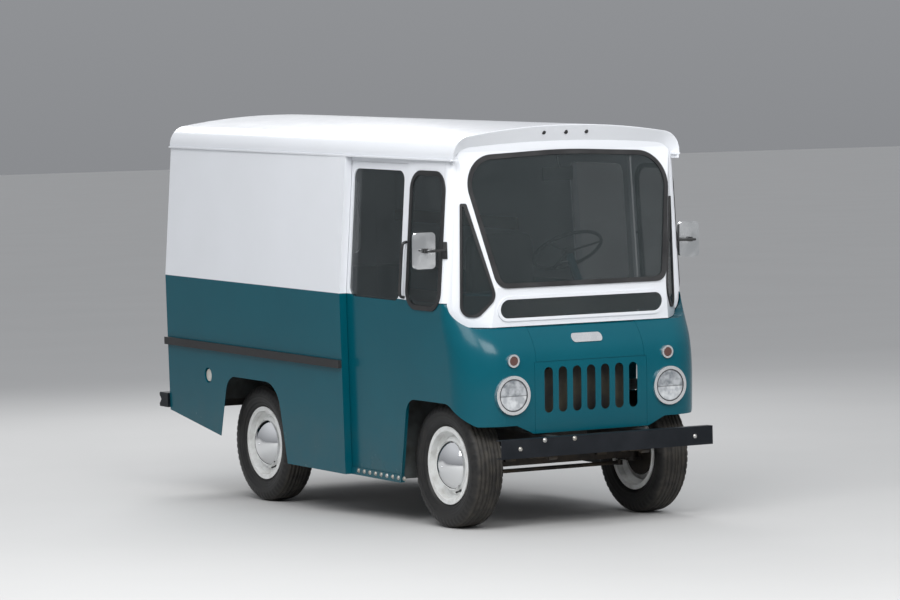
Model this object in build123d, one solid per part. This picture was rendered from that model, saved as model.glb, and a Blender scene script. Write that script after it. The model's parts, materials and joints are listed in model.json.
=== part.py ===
from build123d import *
from math import cos, hypot, radians, sin
import os

# Small forward-control mail delivery truck, millimetres.
# +Z is up and the truck faces -Y, so its own right-hand side is -X.
# Everything is modelled about the front axle (y = 0) with the ground at z = 0,
# then the sprung body is tipped nose-down by RAKE about the front axle.
# At the end all of it moves so that the origin is under the middle of the box.

# ---- stance and running gear ----
WHEELBASE = 2057.0
RAKE = 1.5
TYRE_R = 335.0
TYRE_WIDTH = 188.0
RIM_FLANGE_R = 209.0
RIM_WIDTH = 138.0
RIM_WALL = 6.0
WHEEL_CENTRE_X = 590.0
HUBCAP_R = 132.0
HUBCAP_DEPTH = 50.0
HUBCAP_SEAT = 40.0
HUB_R = 46.0
SPINDLE_R = 20.0
KINGPIN_X = 512.0
KINGPIN_R = 12.0
KINGPIN_BOSS_R = 30.0
KINGPIN_BOSS_H = 62.0
STEERING_ARM = 120.0
BALL_PIN_R = 8.0
TIE_ROD_R = 11.0
DRUM_R = 130.0
SPINDLE_END = 40.0
SPRING_X = 292.0
SPRING_WIDTH = 50.0
FRONT_SPRING_HALF = 460.0
REAR_SPRING_HALF = 560.0
LEAF = 8.0
SPRING_ARCH = 12.0
SPRING_EYE_R = 14.0
AXLE_TUBE = 34.0
BEAM_HALF = 27.0

# ---- running clearances ----
RUNNING_FIT = 0.05
FACE_GAP = 0.3
PANEL_GAP = 4.0

# ---- body ----
CAB_HALF = 762.0
CARGO_HALF = 800.0
BELT_Z = 1212.0
DRIP_Z = 1964.0
SILL_Z = 212.0
SIDE_TUCK = 0.0263
SIDE_TUMBLE = 0.0665
SKIN = 2.5
CAB_CORNER_Y = -143.0
CAB_CORNER_R = 40.0
NOSE_BACK_Y = -90.0
CARGO_FRONT_Y = 908.0
REAR_Y = 3005.0
FLOOR_Z = 515.0
PLATE = 4.0

# ---- roof ----
ROOF_FRONT_HALF = 719.0
ROOF_REAR_HALF = 752.0
ROOF_KNEE_Y = 1100.0
ROOF_KNEE_HALF = 744.0
ROOF_BACK_WALL = 30.0
DRIP_IN = 32.0
ROOF_CROWN_Z = 2143.0
ROOF_CROWN_R = 4030.0
ROOF_CORNER_R = 112.0
BROW_FRONT_Y = -185.0
BROW_BACK_Y = -139.0
BROW_INNER_HALF = 697.0
BROW_INNER_Z = 2057.0
BROW_INNER_R = 7400.0
ROOF_TAIL = 10.0
DRIP_OUT = 11.0
DRIP_HIGH = 9.0

# ---- windshield face ----
SCREEN_FOOT_Z = 1294.0
SCREEN_FOOT_Y = -318.0
SCREEN_SLOPE = 0.245
APRON_SLOPE = 0.09
APRON_LOW_Z = 1085.0
FACET_X = 677.0
FACET_Y = -172.0
FACET_Z = 1284.0
FACET_RUN = 0.98
FACET_LEAN = 0.043
GASKET = 25.0
GASKET_DEPTH = 16.0
GLASS = 5.0

# ---- nose ----
NOSE_LOW_Z = 568.0
NOSE_STATIONS = [
    (500.0, -396.0, 208.0),
    (570.0, -396.0, 208.0),
    (640.0, -396.0, 209.0),
    (710.0, -396.0, 211.0),
    (785.0, -396.0, 215.0),
    (860.0, -394.0, 222.0),
    (910.0, -389.0, 226.0),
    (955.0, -379.0, 226.0),
    (998.0, -359.0, 217.0),
    (1037.0, -333.0, 205.0),
    (1078.0, -297.0, 181.0),
    (1120.0, -256.0, 150.0),
    (1176.0, -188.0, 85.0),
    (1212.0, -143.0, 40.0),
]
LID_HALF = 344.0
LID_LOW_Z = 898.0
LID_HIGH_Z = 1078.0
GRILLE_HALF = 356.0
GRILLE_LOW_Z = 520.0
SLOT_COUNT = 7
SLOT_PITCH = 89.3
SLOT_WIDTH = 54.0
SLOT_LOW_Z = 626.0
SLOT_HIGH_Z = 868.0
FLANGE = 14.0
HEADLIGHT_X = 496.5
HEADLIGHT_Z = 731.0
HEADLIGHT_R = 104.0
HEADLIGHT_LENS_R = 87.0
SIGNAL_X = 488.0
SIGNAL_Z = 912.0
SIGNAL_R = 35.0
SIGNAL_LENS_R = 25.0

# ---- doors ----
DOOR_FRONT_Y = 288.0
DOOR_LENGTH = 640.0
DOOR_TRAVEL = 590.0
DOOR_LOW_Z = 254.0
DOOR_HIGH_Z = 1938.0
DOOR_RECESS = 8.0
DOOR_THICK = 20.0
DOOR_GLASS_LOW_Z = 1200.0
DOOR_GLASS_HIGH_Z = 1900.0
DOOR_GLASS_MARGIN = 45.0
QUARTER_FRONT_Y = -112.0
QUARTER_REAR_Y = 250.0
QUARTER_LOW_Z = 1165.0
QUARTER_HIGH_Z = 1908.0
REAR_DOOR_HALF = 640.0
REAR_DOOR_LOW_Z = 536.0
REAR_DOOR_HIGH_Z = 1905.0
REAR_DOOR_THICK = 30.0
REAR_HINGE_OUT = 12.0

# ---- bumpers ----
BUMPER_HALF = 668.0
BUMPER_FRONT_Y = -565.0
BUMPER_LOW_Z = 400.0
BUMPER_HIGH_Z = 500.0
BUMPER_FLANGE = 52.0
BUMPER_WALL = 5.0
PLATE_HOLE_PITCH = 178.0
PLATE_HOLE_R = 4.5
PLATE_HOLE_X = -307.0
PLATE_HOLE_Z = 486.0
REAR_BUMPER_HALF = 795.0
REAR_BUMPER_LOW_Z = 421.0
REAR_BUMPER_HIGH_Z = 506.0
REAR_BUMPER_OUT = 112.0

# ---- chassis ----
RAIL_X = 292.0
RAIL_WIDTH = 50.0
RAIL_LOW_Z = 420.0
RAIL_HIGH_Z = FLOOR_Z - PLATE
RAIL_FRONT_Y = -500.0
RAIL_REAR_Y = 2974.0
ENGINE_BAY_X = 155.0
ENGINE_BAY_END_Y = 480.0
GEARBOX_LOW_Z = 428.0
GEARBOX_END_Y = 760.0
SHAFT_Z = 466.0
SHAFT_R = 30.0
FAN_Z = 640.0

# ---- controls ----
STEER_X = 335.0
STEER_Y = 352.0
STEER_Z = 1431.0
STEER_LEAN = 34.0
STEER_WHEEL_R = 205.0
STEER_RIM_R = 10.0
COLUMN_R = 24.0
LEVER_X = 60.0
LEVER_Y = 680.0
LEVER_BOOT_R = 24.0
MIRROR_X = 843.0
MIRROR_Y = -76.0
MIRROR_Z = 1493.0
MIRROR_WIDTH = 130.0
MIRROR_HEIGHT = 193.0
MIRROR_SOCKET_R = 12.0
FUEL_Y = 2504.0
FUEL_Z = 648.0
FUEL_CAP_R = 36.0

# ---- places that follow from the sizes above ----
TILT = radians(RAKE)
REAR_AXLE_Y = WHEELBASE * cos(TILT)
REAR_AXLE_Z = TYRE_R - WHEELBASE * sin(TILT)
REAR_ARCH = [
    (REAR_AXLE_Y + 344, SILL_Z - 20),
    (REAR_AXLE_Y + 208, 661.0),
    (REAR_AXLE_Y - 391, 661.0),
    (REAR_AXLE_Y - 492, SILL_Z - 30),
]
ARCH_LEAN = 0.2
ARCH_REAR_Y = 372.0
FRONT_ARCH = [
    (ARCH_REAR_Y, 195.0),
    (ARCH_REAR_Y - 96, 677.0),
    (-150.0, 680.0),
    (-345.0, 564.0),
    (-520.0, 564.0),
    (-520.0, 195.0),
]
FRONT_ARCH_RADII = [0, 100, 120, 70, 0, 0]
DOOR_NOTCH_Z = 195 + (ARCH_REAR_Y + 16 - DOOR_FRONT_Y) / ARCH_LEAN

parts = {}


# ================= small helpers =================
def slab(x0, x1, y0, y1, z0, z1):
    """Rectangular block between two corners."""
    return Pos((x0 + x1) / 2, (y0 + y1) / 2, (z0 + z1) / 2) * Box(x1 - x0, y1 - y0, z1 - z0)


def outline(points, radii=None):
    """Closed flat outline, with rounded corners where radii are given."""
    if radii is None:
        return make_face(Polyline(*points, close=True))
    return make_face(FilletPolyline(*points, radius=radii, close=True))


def along_x(face, x0, x1):
    """Outline drawn in Y and Z, pushed from x0 to x1."""
    return extrude(Plane(origin=(x0, 0, 0), x_dir=(0, 1, 0), z_dir=(1, 0, 0)) * face, x1 - x0)


def along_y(face, y0, y1):
    """Outline drawn in X and Z, pushed from y0 to y1."""
    return extrude(Plane(origin=(0, y1, 0), x_dir=(1, 0, 0), z_dir=(0, -1, 0)) * face, y1 - y0)


def along_z(face, z0, z1):
    """Outline drawn in X and Y, pushed from z0 to z1."""
    return extrude(Plane(origin=(0, 0, z0), x_dir=(1, 0, 0), z_dir=(0, 0, 1)) * face, z1 - z0)


def rod(start, end, radius):
    """Round bar between two points."""
    a, b = Vector(*start), Vector(*end)
    plane = Plane(origin=a, z_dir=(b - a).normalized())
    return extrude(plane * Circle(radius), (b - a).length)


def disc_x(x0, x1, y, z, radius):
    """Round bar along X."""
    return rod((x0, y, z), (x1, y, z), radius)


def disc_y(x, y0, y1, z, radius):
    """Round bar along Y."""
    return rod((x, y0, z), (x, y1, z), radius)


def disc_z(x, y, z0, z1, radius):
    """Round bar along Z."""
    return rod((x, y, z0), (x, y, z1), radius)


def flip(shape):
    """The same piece on the other side of the truck."""
    return mirror(shape, about=Plane.YZ)


def solids_of(*shapes):
    """Every solid of the given pieces, kept apart."""
    found = []
    for shape in shapes:
        found.extend(shape.solids())
    return found


def both_sides(shape):
    """A piece and its twin across the truck."""
    return solids_of(shape, flip(shape))


# ================= the shape of the body =================
def side_x(half, z):
    """Half width of a body side at height z: it leans in above and below the belt line."""
    if z < BELT_Z:
        return half - (BELT_Z - z) * SIDE_TUCK
    return half - (z - BELT_Z) * SIDE_TUMBLE


def side_heights(low, high):
    """Heights where a body side starts, bends and ends."""
    return [low] + [BELT_Z] * (low < BELT_Z < high) + [high]


def side_band(half, thick, low, high, y0, y1):
    """Sheet that follows the left-hand body side."""
    heights = side_heights(low, high)
    outer = [(side_x(half, z), z) for z in heights]
    inner = [(side_x(half, z) - thick, z) for z in reversed(heights)]
    return along_y(outline(outer + inner), y0, y1)


def side_window(y0, y1, low, high, radius, grow=0.0):
    """Rounded opening through a body side."""
    points = [(y0 - grow, low - grow), (y1 + grow, low - grow), (y1 + grow, high + grow), (y0 - grow, high + grow)]
    return along_x(outline(points, radius + grow), CAB_HALF - 260, CARGO_HALF + 60)


def quarter_window(grow):
    """Opening of the fixed window in front of the sliding door."""
    return side_window(QUARTER_FRONT_Y, QUARTER_REAR_Y, QUARTER_LOW_Z, QUARTER_HIGH_Z, 105, grow)


def screen_y(z):
    """Front face of the windshield panel at height z."""
    if z < SCREEN_FOOT_Z:
        return SCREEN_FOOT_Y + (SCREEN_FOOT_Z - z) * APRON_SLOPE
    return SCREEN_FOOT_Y + (z - SCREEN_FOOT_Z) * SCREEN_SLOPE


def screen_slab(out, depth, low=900.0, high=2200.0):
    """Layer parallel to the windshield panel, 'out' in front of it and 'depth' thick."""
    heights = [low, SCREEN_FOOT_Z, high]
    front = [(screen_y(z) - out, z) for z in heights]
    back = [(screen_y(z) - out + depth, z) for z in reversed(heights)]
    return along_x(outline(front + back), -900, 900)


def facet_x(y, z):
    """Half width of the angled corner face at depth y and height z."""
    return FACET_X - (z - FACET_Z) * FACET_LEAN + (y - FACET_Y) * FACET_RUN


def front_bay(inset, low, high):
    """The windshield bay: windshield panel in front, an angled face at each corner."""
    front, back = -470.0, NOSE_BACK_Y + 60
    corner = CAB_CORNER_Y + inset

    def plan(z):
        step = inset * hypot(1, FACET_RUN)
        wide, narrow = facet_x(corner, z) - step, facet_x(front, z) - step
        return [(narrow, front), (wide, corner), (wide, back), (-wide, back), (-wide, corner), (-narrow, front)]

    column = loft([Pos(0, 0, z) * outline(plan(z)) for z in (low, high)], ruled=True)
    return column & screen_slab(-inset, 700)


def cab_block(half, inset, low, high, corner_r):
    """Full-width block behind the windshield bay, with rounded front posts."""
    front, back, r = CAB_CORNER_Y + inset, NOSE_BACK_Y + 60, corner_r - inset
    sections = []
    for z in side_heights(low, high):
        x = side_x(half, z) - inset
        plan = outline([(-x, back), (-x, front), (x, front), (x, back)], [0, r, r, 0])
        sections.append(Pos(0, 0, z) * plan)
    return loft(sections, ruled=True)


def apron_outline(grow):
    """Edge of the white windshield panel: full width above the belt line, rounded off below."""
    half, low = 738.0 + grow, APRON_LOW_Z - grow
    side = CARGO_HALF + 40
    points = [(-side, BELT_Z - grow), (-half, BELT_Z - grow), (-half, low), (half, low)]
    points += [(half, BELT_Z - grow), (side, BELT_Z - grow), (side, 2300), (-side, 2300)]
    return outline(points, [0, 0, 105 + grow, 105 + grow, 0, 0, 0, 0])


def arch_face(half, crown_z, crown_r, low, y):
    """Arched cross-section of the roof."""
    drop = crown_r - (crown_r ** 2 - half ** 2) ** 0.5
    top = crown_z - drop
    crown = ThreePointArc((-half, top), (0, crown_z), (half, top))
    sides = Polyline((half, top), (half, low), (-half, low), (-half, top))
    face = make_face(crown + sides)
    shoulders = face.vertices().filter_by(lambda v: abs(v.Y - top) < 0.5)
    face = fillet(shoulders, ROOF_CORNER_R)
    return Plane(origin=(0, y, 0), x_dir=(1, 0, 0), z_dir=(0, -1, 0)) * face


def nose_block(inset):
    """Solid rounded nose, 'inset' inside the outer skin."""
    sections = []
    for z, front, corner in NOSE_STATIONS:
        half = side_x(CAB_HALF, z) - inset
        points = [(-half, NOSE_BACK_Y), (-half, front + inset), (half, front + inset), (half, NOSE_BACK_Y)]
        sections.append(Pos(0, 0, z) * outline(points, [0, corner - inset, corner - inset, 0]))
    return loft(sections)


# ================= body panels =================
def make_nose():
    outer = nose_block(0)
    inner = nose_block(SKIN)
    flange_core = nose_block(2 * SKIN)
    lid_core = nose_block(SKIN - FACE_GAP)
    shell = outer - inner
    lid_hole = slab(-LID_HALF, LID_HALF, -500, -200, LID_LOW_Z, LID_HIGH_Z)
    grille_hole = slab(-GRILLE_HALF, GRILLE_HALF, -500, -200, 400, LID_LOW_Z)
    frame = slab(-GRILLE_HALF - FLANGE, GRILLE_HALF + FLANGE, -500, -200, GRILLE_LOW_Z, LID_HIGH_Z)
    frame -= slab(-LID_HALF + FLANGE, LID_HALF - FLANGE, -500, -200, LID_LOW_Z + FLANGE, LID_HIGH_Z + 1)
    frame -= slab(-GRILLE_HALF + FLANGE, GRILLE_HALF - FLANGE, -500, -200,
                  GRILLE_LOW_Z + FLANGE, LID_LOW_Z - FLANGE)
    flange = (inner - flange_core) & frame
    arch = along_x(outline(FRONT_ARCH, FRONT_ARCH_RADII), -900, 900)
    chin = outline([(-900, NOSE_LOW_Z), (-470, NOSE_LOW_Z), (-GRILLE_HALF - 8, GRILLE_LOW_Z),
                    (GRILLE_HALF + 8, GRILLE_LOW_Z), (470, NOSE_LOW_Z), (900, NOSE_LOW_Z), (900, 400), (-900, 400)])
    arch_sides = arch - slab(-470, 470, -600, -250, 300, 700)
    shell = shell - lid_hole - grille_hole - along_y(chin, -600, -250) - arch_sides
    shell -= along_y(apron_outline(PANEL_GAP), -600, 0)
    for x in (-1, 1):
        shell -= disc_y(x * HEADLIGHT_X, -500, -200, HEADLIGHT_Z, HEADLIGHT_R + FACE_GAP)
        shell -= disc_y(x * SIGNAL_X, -500, -200, SIGNAL_Z, SIGNAL_R + FACE_GAP)
    windows = quarter_window(0.2) + vent_layer(vent_outline(0.4), 120)
    rim = along_y(apron_outline(PANEL_GAP + SKIN) - apron_outline(PANEL_GAP), -500, CAB_CORNER_Y - 6)
    rim = rim & outer & slab(-900, 900, -500, 0, 900, BELT_Z - PANEL_GAP - SKIN)
    parts["nose_shell"] = solids_of(shell + rim - windows - flip(windows), flange)
    gap = PANEL_GAP / 2
    lid = (outer - lid_core) & slab(-LID_HALF + gap, LID_HALF - gap, -500, -200, LID_LOW_Z + gap, LID_HIGH_Z - gap)
    parts["hood_lid"] = lid
    grille = (outer - lid_core) & slab(-GRILLE_HALF + gap, GRILLE_HALF - gap, -500, -200,
                                       GRILLE_LOW_Z, LID_LOW_Z - gap)
    for index in range(SLOT_COUNT):
        x = (index - (SLOT_COUNT - 1) / 2) * SLOT_PITCH
        slot = outline([(x - SLOT_WIDTH / 2, SLOT_LOW_Z), (x + SLOT_WIDTH / 2, SLOT_LOW_Z),
                        (x + SLOT_WIDTH / 2, SLOT_HIGH_Z), (x - SLOT_WIDTH / 2, SLOT_HIGH_Z)],
                       SLOT_WIDTH / 2 - 0.5)
        grille -= along_y(slot, -500, -200)
    parts["grille_panel"] = grille


def windshield_outline(grow):
    """Wide trapezoid of the windshield: wider at the top, with a gently bowed top edge."""
    points = [(-532 - grow, 1290 - grow), (532 + grow, 1290 - grow), (669 + grow, 1985 + grow),
              (0, 2013 + grow), (-669 - grow, 1985 + grow)]
    return outline(points, [75 + grow, 75 + grow, 175 + grow, 3800, 175 + grow])


def apron_window(grow):
    """Long low window under the windshield, with round ends."""
    half, low, high = 512 + grow, 1130 - grow, 1230 + grow
    return outline([(-half, low), (half, low), (half, high), (-half, high)], (high - low) / 2 - 0.5)


def vent_plane():
    """Plane of the left-hand angled corner face: local x runs forward, local y runs up."""
    forward = Vector(-FACET_RUN, -1, 0).normalized()
    up = Vector(-FACET_LEAN, 0, 1)
    return Plane(origin=(FACET_X, FACET_Y, FACET_Z), x_dir=forward, z_dir=forward.cross(up).normalized())


def vent_outline(grow):
    """Corner window: narrow at the top, swelling forward low down."""
    points = [(2 - grow, 455 + grow), (36 + grow, 455 + grow), (204 + grow, -42),
              (104 + grow, -146 - grow), (2 - grow, -146 - grow)]
    return outline(points, [8 + grow * 0.4, 12 + grow * 0.6, 70, 60, 60 + grow])


def vent_layer(face, depth):
    """Layer of the corner window, centred on the angled face."""
    return Part() + extrude(vent_plane() * face, amount=depth / 2, both=True)


def make_windshield_frame():
    top = 2120.0
    bay = front_bay(0, 1000, top) - front_bay(SKIN, 990, top + 10)
    bay &= slab(-900, 900, -600, CAB_CORNER_Y + SKIN, 900, top)
    posts = cab_block(CAB_HALF, 0, 1000, top, CAB_CORNER_R) - cab_block(CAB_HALF, SKIN, 990, top + 10, CAB_CORNER_R)
    posts -= front_bay(0, 990, top + 10)
    head = extrude(arch_face(BROW_INNER_HALF - FACE_GAP, BROW_INNER_Z - FACE_GAP, BROW_INNER_R, 900, 0), 600)
    head += slab(-900, 900, -600, 0, 900, DRIP_Z)
    hole = vent_layer(vent_outline(0.2), 120)
    quarter = quarter_window(0.2)
    lip = along_y(apron_window(16) - apron_window(0.2), -500, -100) & screen_slab(7, 7)
    sheets = []
    for sheet in (bay, posts):
        sheet = sheet & along_y(apron_outline(0), -600, NOSE_BACK_Y) & head
        sheet = sheet - along_y(windshield_outline(0.2), -700, 100) - along_y(apron_window(0.2), -700, 0)
        sheets.append(sheet - hole - flip(hole) - quarter - flip(quarter))
    parts["windshield_frame"] = solids_of(*sheets, lip)


def make_glazing():
    ring = along_y(windshield_outline(0) - windshield_outline(-GASKET), -700, 100)
    gaskets = solids_of(ring & screen_slab(GASKET_DEPTH / 2, GASKET_DEPTH))
    glass = solids_of(along_y(windshield_outline(-GASKET - 0.2), -700, 100) & screen_slab(GLASS / 2, GLASS))
    glass += solids_of(along_y(apron_window(0), -700, 0) & screen_slab(GLASS / 2, GLASS))
    vent_ring = vent_layer(vent_outline(0), GASKET_DEPTH) - vent_layer(vent_outline(-14), GASKET_DEPTH + 10)
    gaskets += both_sides(vent_ring)
    glass += both_sides(vent_layer(vent_outline(-14.2), GLASS))
    rubber = side_band(CAB_HALF + 7, GASKET_DEPTH, SILL_Z, DRIP_Z, -200, 400)
    rubber &= quarter_window(0) - quarter_window(-GASKET)
    gaskets += both_sides(rubber)
    glass += both_sides(side_band(CAB_HALF + 2, GLASS, SILL_Z, DRIP_Z, -200, 400) & quarter_window(-GASKET - 0.2))
    parts["window_gaskets"] = gaskets
    parts["fixed_glass"] = glass


def roof_loft(inset, low, front_y, rear_y):
    """Arched roof volume: it widens quickly over the cab, then slowly over the cargo body."""
    stations = [(front_y, ROOF_FRONT_HALF), (ROOF_KNEE_Y, ROOF_KNEE_HALF), (rear_y, ROOF_REAR_HALF)]
    faces = [arch_face(half - inset, ROOF_CROWN_Z - inset, ROOF_CROWN_R, low, y) for y, half in stations]
    return loft(faces, ruled=True)


def make_roof():
    low = DRIP_Z
    shell = roof_loft(0, low, BROW_FRONT_Y, REAR_Y + ROOF_TAIL)
    inside = roof_loft(SKIN, low - 20, BROW_FRONT_Y - 5, REAR_Y + ROOF_TAIL - ROOF_BACK_WALL)
    brow = loft([arch_face(ROOF_FRONT_HALF, ROOF_CROWN_Z, ROOF_CROWN_R, low - 150, BROW_FRONT_Y),
                 arch_face(BROW_INNER_HALF, BROW_INNER_Z, BROW_INNER_R, low - 150, BROW_BACK_Y)], ruled=True)
    mouth = loft([arch_face(ROOF_FRONT_HALF, ROOF_CROWN_Z, ROOF_CROWN_R, low - 170, BROW_FRONT_Y - SKIN),
                  arch_face(BROW_INNER_HALF, BROW_INNER_Z, BROW_INNER_R, low - 170, BROW_BACK_Y - SKIN),
                  arch_face(BROW_INNER_HALF, BROW_INNER_Z, BROW_INNER_R, low - 170, BROW_BACK_Y + 20)], ruled=True)
    roof = shell - inside
    for side in (-1, 1):
        roof += loft([drip_face(side, ROOF_FRONT_HALF, BROW_FRONT_Y + 9),
                      drip_face(side, ROOF_KNEE_HALF, ROOF_KNEE_Y),
                      drip_face(side, ROOF_REAR_HALF, REAR_Y + ROOF_TAIL - 4)], ruled=True)
    parts["roof"] = solids_of(roof, (brow - mouth) & inside)


def drip_face(side, half, y):
    """Cross-section of the drip rail along the roof edge."""
    x0, x1 = half - DRIP_IN, half + DRIP_OUT
    points = [(side * x0, DRIP_Z), (side * x1, DRIP_Z), (side * x1, DRIP_Z + DRIP_HIGH), (side * x0, DRIP_Z + DRIP_HIGH)]
    return Plane(origin=(0, y, 0), x_dir=(1, 0, 0), z_dir=(0, -1, 0)) * outline(points)


def door_outline(grow):
    """Side view of the sliding door: its lower front corner is cut back along the wheel arch."""
    front, rear = DOOR_FRONT_Y - grow, DOOR_FRONT_Y + DOOR_LENGTH + grow
    foot = ARCH_REAR_Y + 16 - (DOOR_LOW_Z - 195) * ARCH_LEAN - grow
    return outline([(foot, DOOR_LOW_Z), (rear, DOOR_LOW_Z), (rear, DOOR_HIGH_Z), (front, DOOR_HIGH_Z),
                    (front, DOOR_NOTCH_Z)])


def make_cab_side():
    """Fixed cab side: quarter panel, strip over the door, sill and the two door tracks."""
    end = CARGO_FRONT_Y - 3
    panel = side_band(CAB_HALF, SKIN, SILL_Z, DRIP_Z, NOSE_BACK_Y, end)
    panel = panel - along_x(door_outline(6), 600, 900) - slab(600, 900, DOOR_FRONT_Y, end + 50, DOOR_HIGH_Z - 5, DOOR_HIGH_Z + 4)
    panel = panel - slab(600, 900, 800, end + 50, DOOR_LOW_Z, DOOR_HIGH_Z)
    panel -= along_x(outline(FRONT_ARCH, FRONT_ARCH_RADII), 600, 900)
    panel -= quarter_window(0.2)
    track_start = ARCH_REAR_Y
    track_end = DOOR_FRONT_Y + DOOR_LENGTH + DOOR_TRAVEL + 8
    door_in = side_x(CAB_HALF, DOOR_LOW_Z) - DOOR_RECESS - DOOR_THICK
    low, high = SILL_Z + 2, DOOR_LOW_Z - FACE_GAP
    sill = slab(door_in, side_x(CAB_HALF, low) - 1, track_start, end, low, high)
    track = slab(door_in, door_in + DOOR_THICK - 2, track_start, track_end, low, high)
    top_x = side_x(CAB_HALF, DOOR_HIGH_Z) - DOOR_RECESS
    head = slab(top_x - DOOR_THICK, top_x - 2, DOOR_FRONT_Y - 6, track_end, DOOR_HIGH_Z + FACE_GAP, DRIP_Z)
    head += slab(top_x - 6, side_x(CAB_HALF, DRIP_Z) - 1, DOOR_FRONT_Y - 6, end, DOOR_HIGH_Z + 6, DRIP_Z)
    side = panel + sill + track + head
    parts["cab_side_left"] = side
    parts["cab_side_right"] = flip(side)


def make_cargo_side():
    low = SILL_Z
    panel = side_band(CARGO_HALF, SKIN, low, DRIP_Z, CARGO_FRONT_Y, REAR_Y)
    panel -= along_x(outline(REAR_ARCH, [0, 120, 170, 0]), 600, 900)
    tail = outline([(REAR_AXLE_Y + 150, SILL_Z - 20), (REAR_AXLE_Y + 150, 300), (REAR_AXLE_Y + 314, 304),
                    (REAR_Y + 20, 411), (REAR_Y + 20, SILL_Z - 20)])
    panel -= along_x(tail, 600, 900)
    reach = CARGO_HALF - SKIN + 0.5 - (CAB_HALF - DOOR_RECESS) - 3
    lip = side_band(CARGO_HALF - SKIN + 0.5, reach, low, DRIP_Z, CARGO_FRONT_Y, CARGO_FRONT_Y + SKIN)
    side = panel + lip
    hole = disc_x(600, 900, FUEL_Y, FUEL_Z, FUEL_CAP_R + 8)
    side -= hole
    cup_out = side_x(CARGO_HALF, FUEL_Z)
    cup = disc_x(cup_out - 40, cup_out - 1, FUEL_Y, FUEL_Z, FUEL_CAP_R + 8 + SKIN)
    cup -= disc_x(cup_out - 40 + SKIN, cup_out + 5, FUEL_Y, FUEL_Z, FUEL_CAP_R + 8)
    parts["cargo_side_left"] = panel + lip
    parts["cargo_side_right"] = flip(side + cup)
    parts["fuel_cap"] = flip(disc_x(cup_out - 40 + SKIN + FACE_GAP, cup_out - 12, FUEL_Y, FUEL_Z, FUEL_CAP_R - 8)
                             + disc_x(cup_out - 24, cup_out - 8, FUEL_Y, FUEL_Z, FUEL_CAP_R))


def make_sliding_door():
    half = CAB_HALF - DOOR_RECESS
    front, rear = DOOR_FRONT_Y, DOOR_FRONT_Y + DOOR_LENGTH
    door = side_band(half, DOOR_THICK, DOOR_LOW_Z, DOOR_HIGH_Z, front, rear) & along_x(door_outline(0), 600, 900)
    margin = DOOR_GLASS_MARGIN
    hole = side_window(front + margin, rear - margin, DOOR_GLASS_LOW_Z, DOOR_GLASS_HIGH_Z, 55)
    pane = side_window(front + margin, rear - margin, DOOR_GLASS_LOW_Z, DOOR_GLASS_HIGH_Z, 55, -0.2)
    glass = side_band(half - 8, GLASS, DOOR_GLASS_LOW_Z - 20, DOOR_GLASS_HIGH_Z + 20, front, rear) & pane
    door -= hole
    parts["sliding_door_left"] = door
    parts["sliding_door_right"] = flip(door)
    parts["door_glass_left"] = glass
    parts["door_glass_right"] = flip(glass)


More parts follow.
